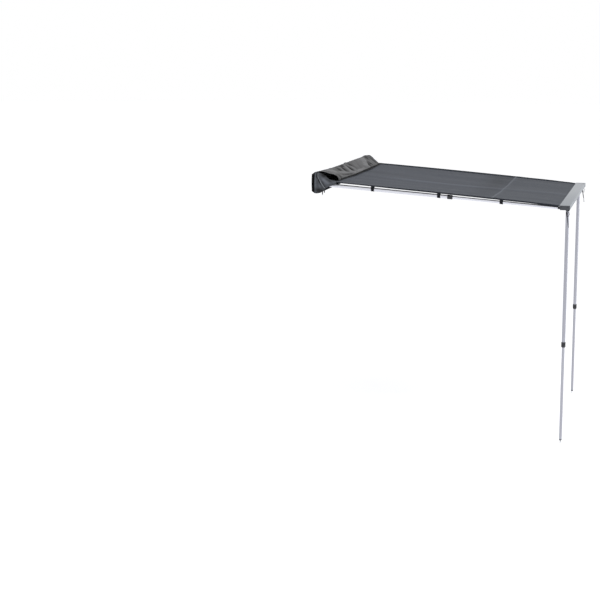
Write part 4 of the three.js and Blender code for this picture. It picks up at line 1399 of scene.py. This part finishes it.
@dataclass
class FrontBar:
    """The channel that stores the legs, with its caps, receivers and guy cords."""

    length: float = 2010.0
    top: float = -112.0
    middle: float = 1960.0
    cap_face: float = 6.3

    def screws(self, side: Side) -> None:
        """Sets two pan-head screws with a cross recess in one cap's face.

        Args:
            side: which end of the awning.
        """
        head = turned("screw", [(3.6, 0), (3.6, 0.5), (3.3, 1.2), (2.5, 1.7), (1.2, 1.95)], 32)
        for turn in (0, 90):
            slot = block("slot", (-2.1, -0.35, 0.9), (2.1, 0.35, 2.5))
            settle(slot, Matrix.Rotation(math.radians(turn), 4, "Z"))
            combine(head, slot, "DIFFERENCE")
        x = side.value * (self.length / 2 + self.cap_face)
        quarter = Matrix.Rotation(side.value * math.radians(90), 4, "Y")
        places = [
            Matrix.Translation((x * MM, (outward - self.middle) * MM, (self.top - 8.5) * MM)) @ quarter
            for outward in (-24, 22)
        ]
        dress(repeated(f"{side.word}_bar_cap_screws", head, places), COATED_STEEL, body="front_bar")

    @staticmethod
    def wound(line: Line, start: float, end: float, out: Range, turns: int) -> np.ndarray:
        """The line of a strand wound round the cord.

        Args:
            line: the cord's own line.
            start: the share of the cord where the winding begins.
            end: the share where it ends.
            out: how far the strand lies from the cord's line at either end, in millimetres.
            turns: how many times it goes round.

        Returns:
            The strand's points in metres.
        """
        rows = []
        for share in np.linspace(0, 1, 16 * turns + 1):
            angle = 2 * math.pi * turns * share
            round_it = np.array((math.cos(angle), math.sin(angle), 0))
            away = MM * (out[0] + (out[1] - out[0]) * share)
            rows.append(line.at(start + (end - start) * share) + away * round_it)
        return np.array(rows)

    def guy_cord(self, side: Side) -> None:
        """Hangs one short guy cord from its lug, with its runner and its knot.

        Args:
            side: which end of the awning.
        """
        route = [
            (0, 0, 0), (0, 0, -9), (0.4, -1.2, -22), (1.0, -3.4, -40), (1.6, -6.2, -58),
            (2.0, -9.4, -76), (2.0, -12.4, -93), (1.6, -14.6, -108), (1.0, -16.0, -122),
        ]
        x, y, z = side.value * (self.length / 2 + 3.3), -self.middle - 18, self.top - 32 - 1.5 - 7 - 0.3
        points = MM * through([(x + side.value * a, y + b, z + c) for a, b, c in route], 0.5, 10)
        line = Line(points)
        radius = 2.0 * MM
        cord = tube_along(f"{side.word}_guy_cord_braided", points, radius, 4)
        runner_node = f"{side.word}_guy_runner"
        runner = dress(refined(runner_node, 0.5), MOULDING, runner_node)
        clear_bench()
        bpy.ops.mesh.primitive_uv_sphere_add(segments=28, ring_count=16, radius=3.6 * MM, location=points[-1])
        knot = active(f"{side.word}_guy_knot")
        for vertex in knot.data.vertices:
            around = math.atan2(vertex.co.y, vertex.co.x)
            vertex.co *= 0.93 + 0.07 * math.cos(3 * around + 900 * vertex.co.z)
        dress(smooth(settle(knot), 60), BRAID, body="front_bar")
        hitch = self.wound(line, 0.06, 0.36, (5.4, 2.6), 9)
        twist = self.wound(line, 0.37, 0.74, (2.9, 2.3), 4)
        bight = through([(0, 0, 0), (0, -13, -5), (0, -20, -18), (0, -15, -32), (1, -3, -43)], 0.5, 8)
        windings = [
            as_mesh(tube_along(f"{side.word}_guy_{word}", strand, thick))
            for word, strand, thick in (
                ("hitch", hitch, radius), ("twist", twist, radius),
                ("bight", bight * MM + line.at(0.02), 0.8 * radius),
            )
        ]
        for winding in windings:
            dress(winding, BRAID, body="front_bar")
        dress(cord, BRAID, f"{side.word}_guy_cord")
        line.length

    def build(self) -> None:
        """Makes the bar, its caps, its receivers and its cords."""
        dress(refined("front_bar", 0.3), EXTRUSION, "front_bar")
        for side in Side:
            cap, receiver = f"{side.word}_bar_cap", f"{side.word}_tip_receiver"
            dress(refined(cap, 0.9, 3), CAP_MOULDING, cap)
            dress(refined(receiver, 0.4), COATED_STEEL, receiver)
            self.screws(side)
            self.guy_cord(side)


# The case


@dataclass
class Case:
    """The backboard with its caps, and the brackets and T bolts that hold it on a rack."""

    slot_height: float = 35.0
    bracket_place: float = 600.0

    def t_bolts(self, side: Side) -> None:
        """Makes the two T bolts of one bracket, each with its washer and nut.

        Args:
            side: which end of the awning.
        """
        thread = [(4.0 - 0.45 * (i % 2), 6.0 + 0.62 * i) for i in range(21)]
        rings = [(4.3, 5.6), (7.7, 5.6), (8, 5.9), (8, 6.9), (7.7, 7.2), (4.3, 7.2)]
        for level, word in ((1, "upper"), (-1, "lower")):
            head = round_edges(block("head", (-7.5, -7, -7), (7.5, 7, -2.5)), 0.5)
            shank = turned("shank", [(4.0, -3), (4.0, 5.4), *thread, (3.2, 18.7)], 48)
            washer = turned("washer", rings, 48, looped=True)
            nut = turned("nut", [(7.5, 7.2), (7.5, 13.7)], 6)
            combine(nut, turned("bore", [(4.05, 6), (4.05, 15)], 48), "DIFFERENCE")
            node = f"{side.word}_{word}_t_bolt"
            parts = [smooth(head), smooth(shank), smooth(washer), round_edges(nut, 0.4)]
            place = (side.value * self.bracket_place * MM, 0, level * self.slot_height * MM)
            bolt = settle(join(node + "_fitted", parts), Matrix.Translation(place) @ QUARTER_X.inverted())
            dress(bolt, STEEL, node)

    def build(self) -> None:
        """Makes the backboard and everything rigid on it."""
        dress(refined("backboard", 0.4), EXTRUSION, "backboard")
        for side in Side:
            cap, bracket = f"{side.word}_case_cap", f"{side.word}_rack_bracket"
            dress(refined(cap, 0.9, 3), MOULDING, cap)
            dress(refined(bracket, 0.7), COATED_STEEL, bracket)
            self.t_bolts(side)


# The cover


@dataclass(frozen=True)
class Crease:
    """A fold in the cloth, pressed in or pushed out along a line between two places of it."""

    start: tuple[float, float]
    end: tuple[float, float]
    width: float
    depth: float

    def lift(self, x: float, y: float) -> float:
        """How far the fold moves the cloth at a place.

        Args:
            x: the place across the cloth.
            y: the place along it.

        Returns:
            The move, outward if positive.
        """
        (x0, y0), (x1, y1) = self.start, self.end
        run = (x1 - x0) ** 2 + (y1 - y0) ** 2
        share = min(max(((x - x0) * (x1 - x0) + (y - y0) * (y1 - y0)) / run, 0.0), 1.0)
        off = math.hypot(x - x0 - share * (x1 - x0), y - y0 - share * (y1 - y0))
        return self.depth * math.exp(-((off / self.width) ** 2)) * (0.35 + 0.65 * math.sin(math.pi * share))


def crumple(x: float, y: float, seed: float) -> float:
    """The height in millimetres of a stiff coated cloth's sharp small folds at a place of it.

    Args:
        x: the place across the folds, in millimetres.
        y: the place along them.
        seed: a number that tells one piece's folds from another's.

    Returns:
        The height, up to about 7 mm either way.
    """
    bent = 26 * noise.noise(Vector((x / 90, y / 120, seed + 4)))
    broad = 0.5 - abs(noise.noise(Vector(((x + bent + 0.9 * y) / 105, (y - bent) / 190, seed)))) * 2
    sharp = 0.5 - abs(noise.noise(Vector(((x - 0.7 * y) / 48, (y + bent) / 80, seed + 9)))) * 2
    return 4.6 * broad + 2.6 * sharp


@dataclass
class Cover:
    """The soft cover: a flap thrown over the canopy, a bottom panel, two ends and the open zip."""

    canopy: Canopy
    half: float = 1046.0
    thickness: float = 1.5
    flap_flat: tuple[float, float] = (2092.0, 262.0)
    flap_area: float = 0.442
    panel_flat: tuple[float, float] = (2092.0, 66.0)

    # Lines of the flap from the groove to its front edge, from the left end to the right, each
    # point as (along the vehicle, outward, height)
    flap_net: tuple = (
        ((-1004, 6, 61), (-1036, 9, 82), (-1046, 32, 106), (-1032, 86, 101), (-990, 122, 84),
         (-930, 146, 73), (-880, 156, 52), (-836, 154, 21)),
        ((-850, 6, 61), (-850, 10, 80), (-850, 35, 102), (-842, 72, 96), (-822, 108, 82),
         (-796, 136, 64), (-772, 155, 40), (-750, 162, 20)),
        ((-560, 6, 61), (-560, 10, 80), (-560, 38, 96), (-560, 66, 86), (-560, 98, 66),
         (-560, 130, 43), (-560, 152, 26), (-560, 168, 18)),
        ((-200, 6, 61), (-200, 10, 78), (-200, 40, 92), (-200, 68, 82), (-200, 102, 62),
         (-200, 136, 40), (-200, 162, 24), (-200, 183, 17)),
        ((200, 6, 61), (200, 10, 78), (200, 42, 91), (200, 70, 81), (200, 104, 60),
         (200, 138, 38), (200, 164, 23), (200, 184, 17)),
        ((600, 6, 61), (600, 11, 78), (600, 46, 89), (600, 74, 78), (600, 107, 58),
         (600, 140, 37), (600, 166, 23), (600, 187, 17)),
        ((860, 6, 61), (860, 12, 76), (862, 50, 88), (865, 82, 76), (869, 112, 57),
         (873, 142, 36), (876, 164, 22), (878, 182, 17)),
        ((1004, 6, 61), (1036, 12, 76), (1044, 56, 87), (1042, 86, 72), (1034, 109, 55),
         (1016, 131, 39), (990, 151, 23), (960, 168, 17)),
    )
    # Each crease also sets the fold attribute: painted shade where it is pressed in, a painted highlight
    # where it is pushed out. The last, broad and shallow one mostly paints shade over the flap's right end.
    creases: tuple = (
        Crease((711, 108), (711, 152), 28, -9), Crease((826, 108), (826, 170), 28, -12),
        Crease((971, 130), (986, 206), 21, -14), Crease((842, 102), (934, 102), 16, -13),
        Crease((1075, 98), (1102, 144), 27, -9), Crease((1858, 60), (1786, 104), 15, -10),
        Crease((1552, 164), (1430, 226), 16, -13), Crease((1496, 232), (1612, 256), 15, -12),
        Crease((429, 178), (460, 232), 25, -9), Crease((628, 184), (880, 220), 13, -6),
        Crease((1611, 172), (1590, 208), 28, -11), Crease((1772, 84), (1730, 124), 20, -7),
        Crease((350, 190), (382, 250), 38, -9), Crease((942, 98), (880, 172), 17, 10),
        Crease((1050, 146), (1010, 210), 15, 13), Crease((1602, 90), (1378, 180), 30, 9),
        Crease((584, 156), (818, 193), 16, 9), Crease((816, 191), (1048, 212), 16, 9),
        Crease((1652, 148), (1598, 208), 21, 10), Crease((1345, 174), (1424, 230), 17, 7),
        Crease((1046, 208), (1258, 212), 16, 7), Crease((520, 190), (578, 228), 12, 7),
        Crease((770, 104), (768, 164), 15, 8), Crease((1905, 140), (1826, 220), 25, -7),
        Crease((272, 112), (513, 150), 28, 6), Crease((150, 120), (300, 190), 16, -6),
        Crease((70, 118), (150, 200), 23, 6), Crease((1960, 90), (1890, 215), 80, -1.8),
    )

    def above_canopy(self, x: float, outward: float, height: float, room: float) -> float:
        """Keeps a height over the board and the canopy, all in metres.

        Args:
            x: the place along the vehicle.
            outward: how far it lies from the vehicle.
            height: the height that is wanted.
            room: what stays free over the canopy.

        Returns:
            The height that is free.
        """
        if outward < 24 * MM:
            return height
        return max(height, self.canopy.surface(x, outward) + room)

    def flap_fold(self, u: float, v: float) -> float:
        """How far the flap's folds move it at a place, in millimetres."""
        x, y = u * self.flap_flat[0], v * self.flap_flat[1]
        return sum(crease.lift(x, y) for crease in self.creases) + 0.55 * crumple(x, y, 0.7)

    def flap_point(self, u: float, v: float, lift: float = 0.0) -> Point:
        """A point of the flap's middle, or one raised off it by millimetres.

        Args:
            u: the share of its length, from the left.
            v: the share from its groove to its front.
            lift: how far off the middle it lies, in millimetres.

        Returns:
            The point in the row frame.
        """
        net = np.array(self.flap_net, float)
        x, outward, height = spline(np.array([spline(row, v) for row in net]), u)
        free = ease(0.12, 0.3, v)
        outward += 3.0 * free * noise.noise(Vector((17 * u, 3 * v, 9.0)))
        up = free * self.flap_fold(u, v) * (1 - 0.7 * ease(0.86, 1.0, v)) + 5 * ease(0.7, 1.0, v)
        outward += 0.5 * up
        place = [x * MM, outward * MM, (height + 0.85 * up) * MM]
        place[2] = self.above_canopy(place[0], place[1], place[2], 2.4 * MM) + lift * MM
        return (place[0], -place[1], place[2])

    def zip_tape(self, name: str, edge: Callable[[float, float], Point], length: float) -> None:
        """Sews a zip tape along an edge and sets its teeth.

        Args:
            name: the edge's name.
            edge: the tape's point at a share along the edge and a distance out of it in millimetres.
            length: the edge's length in metres.
        """
        width = 15.0

        def across(u: float, v: float) -> Point:
            """A point of the tape, which rises along its middle."""
            x, y, z = edge(v, (u - 0.55) * width)
            return (x, y, z + 1.8 * MM * math.sin(math.pi * u))

        tape = cloth(name + "_zip_tape", across, 8, 150, (width * MM, length), 0.9 * MM)
        dress(tape, ZIP_TAPE, body="case")
        tooth, pitch = round_edges(block("tooth", (-1.0, -1.8, -1.3), (1.0, 2.2, 1.3)), 0.3, 1), 3.4 * MM
        places = []
        count = int(length / pitch)
        for i in range(count):
            here, ahead = (Vector(edge((i + k) / count, 0.4 * width)) for k in (0.3, 0.7))
            out = (Vector(edge((i + 0.5) / count, width)) - Vector(edge((i + 0.5) / count, 0))).normalized()
            along = (ahead - here).normalized()
            turn = Matrix((along, out, along.cross(out))).transposed().to_4x4()
            places.append(Matrix.Translation((here + ahead) / 2) @ turn)
        dress(repeated(name + "_zip_teeth", tooth, places), ZIP_TEETH, body="case")

    def flap(self) -> None:
        """Lays the top flap with the zip along its front edge and a hem along each side."""
        flat = (self.flap_flat[0] * MM, self.flap_flat[1] * MM)
        # The fold attribute paints shade in the flap's folds and highlights on their crests.
        flap = cloth(
            "cover_flap_cloth", self.flap_point, 340, 64, flat, self.thickness * MM,
            lambda u, v: 0.5 + ease(0.12, 0.3, v) * self.flap_fold(u, v) / 8.5,
        )
        dress(flap, COVER_CLOTH, "cover_top_flap")

        def edge(share: float, out: float) -> Point:
            """A point of the flap's front zip.

            Args:
                share: the share along the zip.
                out: how far out of the edge, in millimetres.

            Returns:
                The point in the row frame.
            """
            u = 0.004 + 0.992 * share
            x, y, z = self.flap_point(u, 1.0)
            x_behind, y_behind, _ = self.flap_point(u, 0.96)
            away = Vector((x - x_behind, y - y_behind, 0)).normalized() * (0.85 * out * MM)
            x, y = x + away.x, y + away.y
            return (x, y, self.above_canopy(x, -y, z + (1.5 - 0.42 * out) * MM, 2.0 * MM))

        self.zip_tape("cover_flap", edge, 1.83)
        for side in Side:
            across = 0.0 if side is Side.LEFT else 1.0
            rim = [self.flap_point(across, share) for share in np.linspace(0.1, 1.0, 60)]
            piping = as_mesh(tube_along(f"cover_{side.word}_flap_piping", rim, 1.9 * MM))
            dress(piping, ZIP_TAPE, body="case")

    def panel_point(self, u: float, v: float, out: float = 0.0) -> Point:
        """A point of the bottom panel's middle, v from its groove to its front edge.

        Args:
            u: the share of its length, from the left.
            v: the share along, from 0 to 1.
            out: how far past its front, in millimetres.

        Returns:
            The point in the row frame.
        """
        line = np.array([(6, -61), (8, -63), (19, -63.6), (40, -61.8), (62, -53.7)], float)
        outward, height = spline(line, v)
        half = 1004 + (self.half - 1004) * ease(0.1, 0.4, v)
        sag = 0.3 * ease(0.3, 0.6, v) * (1 - ease(0.7, 0.9, v)) * self.panel_fold(u, v)
        return ((2 * u - 1) * half * MM, -(outward + 0.85 * out) * MM, (height + sag + 0.55 * out) * MM)

    def panel_fold(self, u: float, v: float) -> float:
        """How far the bottom panel's folds would move it at a place, in millimetres."""
        return crumple(self.panel_flat[0] * u, self.panel_flat[1] * v, 6.0)

    def bottom(self) -> None:
        """Lays the bottom panel with its zip and slider."""
        flat = (self.panel_flat[0] * MM, self.panel_flat[1] * MM)
        # The fold attribute paints shade in the panel's folds and highlights on their crests.
        panel = cloth(
            "cover_bottom_cloth", self.panel_point, 160, 20, flat, self.thickness * MM,
            lambda u, v: 0.5 + self.panel_fold(u, v) / 18,
        )
        dress(panel, COVER_CLOTH, "cover_bottom_panel")
        self.zip_tape(
            "cover_bottom", lambda share, out: self.panel_point(0.002 + 0.996 * share, 1.0, out), 2.084,
        )
        dress(refined("cover_zip_slider", 0.5), ZIP_TEETH, "cover_zip_slider")

    def build(self) -> None:
        """Sews the whole cover."""
        self.flap()
        self.bottom()
        for side in Side:
            CoverEnd(side, self.half, self.thickness).build()


@dataclass
class CoverEnd:
    """One soft end of the cover: upright cloth with a slanting piped seam and a bound rear edge.

    Its lines and creases are in millimetres, as (outward, height). What differs by side comes for
    the left end first.
    """

    side: Side
    half: float
    thickness: float
    lower: np.ndarray = field(init=False)
    upper: np.ndarray = field(init=False)
    lowers: tuple = (
        ((-5, -50), (7, -62), (24, -64.5), (44, -62), (62, -55), (86, -39), (116, -15), (150, 1), (184, 12)),
        ((-5, -50), (7, -62), (24, -64.5), (44, -62), (62, -55), (79, -39), (101, -15), (126, 0), (150, 3)),
    )
    uppers: tuple = (
        ((-6, 84), (10, 100), (32, 103), (62, 93), (92, 78), (112, 60), (136, 45), (182, 36)),
        ((-6, 68), (10, 80), (32, 84), (52, 80), (76, 66), (98, 48), (122, 32), (150, 15)),
    )
    flats: tuple = ((0.196, 0.172), (0.162, 0.152))
    areas: tuple = (0.021, 0.0157)
    # The tucks also set the fold attribute: painted shade where pressed in, painted highlights where pushed
    # out. The deep ones near the head, further out, paint the shadow under the flap's edge, and those along
    # the foot paint the shade at the bottom.
    tucks: tuple = (
        Crease((40, 60), (92, -26), 4.5, 6.0), Crease((33, 60), (60, 8), 5.0, -10.0),
        Crease((26, 104), (27, 54), 4.5, -16.0), Crease((10, -34), (84, -44), 17.0, -12.0),
        Crease((15, 84), (17, -44), 7.0, 6.0), Crease((60, 62), (124, 4), 13.0, 7.0),
        Crease((66, 34), (100, -28), 7.0, -6.0), Crease((56, 84), (104, 66), 14.0, -12.0),
        Crease((100, 50), (150, 22), 8.0, -6.0), Crease((112, 18), (174, 24), 7.0, 5.0),
        Crease((30, -50), (74, -46), 9.0, -8.0), Crease((44, 10), (60, -30), 6.0, 5.0),
    )
    seam: tuple = ((35, 92), (39, 62), (61, 22), (78, -2), (92, -24))
    piping_radius: float = 1.9 * MM

    def __post_init__(self) -> None:
        """Picks the outline of this side."""
        self.lower, self.upper = (np.array(self.own(lines), float) for lines in (self.lowers, self.uppers))

    def own(self, pair: tuple) -> object:
        """What this side has of a left and a right value."""
        return pair[self.side is Side.RIGHT]

    def spot(self, u: float, v: float) -> np.ndarray:
        """A place of the end, u from its rear edge to its tip and v from its foot to its head."""
        return (1 - v) * spline(self.lower, u) + v * spline(self.upper, u)

    def folds(self, outward: float, height: float) -> float:
        """How far the end's folds move it at a place, in millimetres."""
        creased = sum(tuck.lift(outward, height) for tuck in self.tucks)
        return creased + 0.6 * crumple(height, outward, 3.0 * self.side.value)

    def place(self, u: float, v: float, lift: float = 0.0) -> Point:
        """A point of the end's middle, or one raised off it by millimetres.

        Args:
            u: the share from its rear edge to its tip.
            v: the share from its foot to its head.
            lift: how far off the middle it lies, in millimetres.

        Returns:
            The point in the row frame.
        """
        outward, height = self.spot(u, v)
        puff = 14 * math.sin(math.pi * v) * math.sin(math.pi * min(max(0.1 + 0.8 * u, 0), 1))
        edged = ease(0, 0.08, u) * (1 - ease(0.92, 1, u)) * (0.4 + 0.6 * math.sin(math.pi * v))
        away = min(self.half + 4 + puff + 0.7 * edged * self.folds(outward, height), self.half + 24) + lift
        return (self.side.value * away * MM, -outward * MM, height * MM)

    def binding(self, u: float, v: float) -> Point:
        """A point of the black tape bound round the end's rear edge, drawn broad so that it also stands for
        the shade on that edge: part real binding, part painted shade.

        Args:
            u: the share round the edge.
            v: the share up it.

        Returns:
            The point in the row frame.
        """
        x, y, z = self.place(0.13, v, lift=1.8)
        _, rear_y, rear_z = self.place(0.0, v)
        back = min(u / 0.4, 1.0)
        x -= self.side.value * 40 * MM * max(u - 0.36, 0) / 0.64
        rear_y += 8.5 * MM
        return (x, (1 - back) * y + back * rear_y, (1 - back) * z + back * rear_z)

    def tie(self, u: float, v: float) -> Point:
        """A point of the short webbing tail that hangs inside the end's lower edge.

        Args:
            u: the share of its width.
            v: the share of its length.

        Returns:
            The point in the row frame.
        """
        x, y, z = self.place(self.own((0.62, 0.66)), 0.06)
        x -= self.side.value * (4 + 2.5 * math.sin(2.6 * v)) * MM
        return (x, y + (8 * u - 4 - 1.5 * v) * MM, z - 26 * v * MM)

    def piped_seam(self) -> np.ndarray:
        """The line of the slanting seam, found on the cloth step by step.

        Returns:
            The line's points as rows.
        """
        spots = {
            (u, v): self.spot(u, v) for u in np.linspace(0.05, 0.7, 66) for v in np.linspace(0, 1, 41)
        }
        stitched = Line(through(self.seam, 0.4, 12))
        found = []
        for share in np.linspace(0.02, 0.98, 40)[::3]:
            goal = stitched.at(share)
            best = min(spots, key=lambda at: float(np.linalg.norm(spots[at] - goal)))
            found.append(self.place(*best, lift=1.4))
        return through(found, 0.5, 6)

    def build(self) -> None:
        """Sews the end, its seam, its bindings and its tail."""
        node = f"{self.side.word}_cover_end"
        flat = self.own(self.flats)
        # The fold attribute paints shade in the end's folds and highlights on their crests.
        panel = cloth(
            node + "_cloth", self.place, 110, 80, flat, self.thickness * MM,
            lambda u, v: 0.5 + self.folds(*self.spot(u, v)) / 20,
        )
        dress(panel, COVER_END_CLOTH, node)
        self.own(self.areas)
        piping = as_mesh(tube_along(node + "_piping", self.piped_seam(), self.piping_radius))
        dress(piping, PIPING, body="case")
        tape = cloth(node + "_binding", self.binding, 22, 60, (0.055, 0.15), 1.2 * MM)
        dress(tape, ZIP_TAPE, body="case")
        dress(cloth(node + "_tie", self.tie, 6, 12, (0.008, 0.026), 1.3 * MM), WEBBING, body="case")
        for edge, word in ((0.0, "foot"), (1.0, "head")):
            rim = [self.place(share, edge) for share in np.linspace(0.03, 1.0, 50)]
            dress(as_mesh(tube_along(f"{node}_{word}_piping", rim, 1.7 * MM)), ZIP_TAPE, body="case")


def main() -> None:
    """Builds the studio and dresses the awning, sub-assembly by sub-assembly."""
    logging.basicConfig(level=logging.INFO, format="%(name)s: %(message)s")
    Studio().build()
    canopy = Canopy()
    canopy.build()
    FrontBar().build()
    Case().build()
    Cover(canopy).build()
    for side in Side:
        Rafter.on(side).build()
        Leg.on(side).build()
        for number in (1, 2, 3):
            Strap(side, number, canopy).build()


if __name__ == "__main__":
    main()
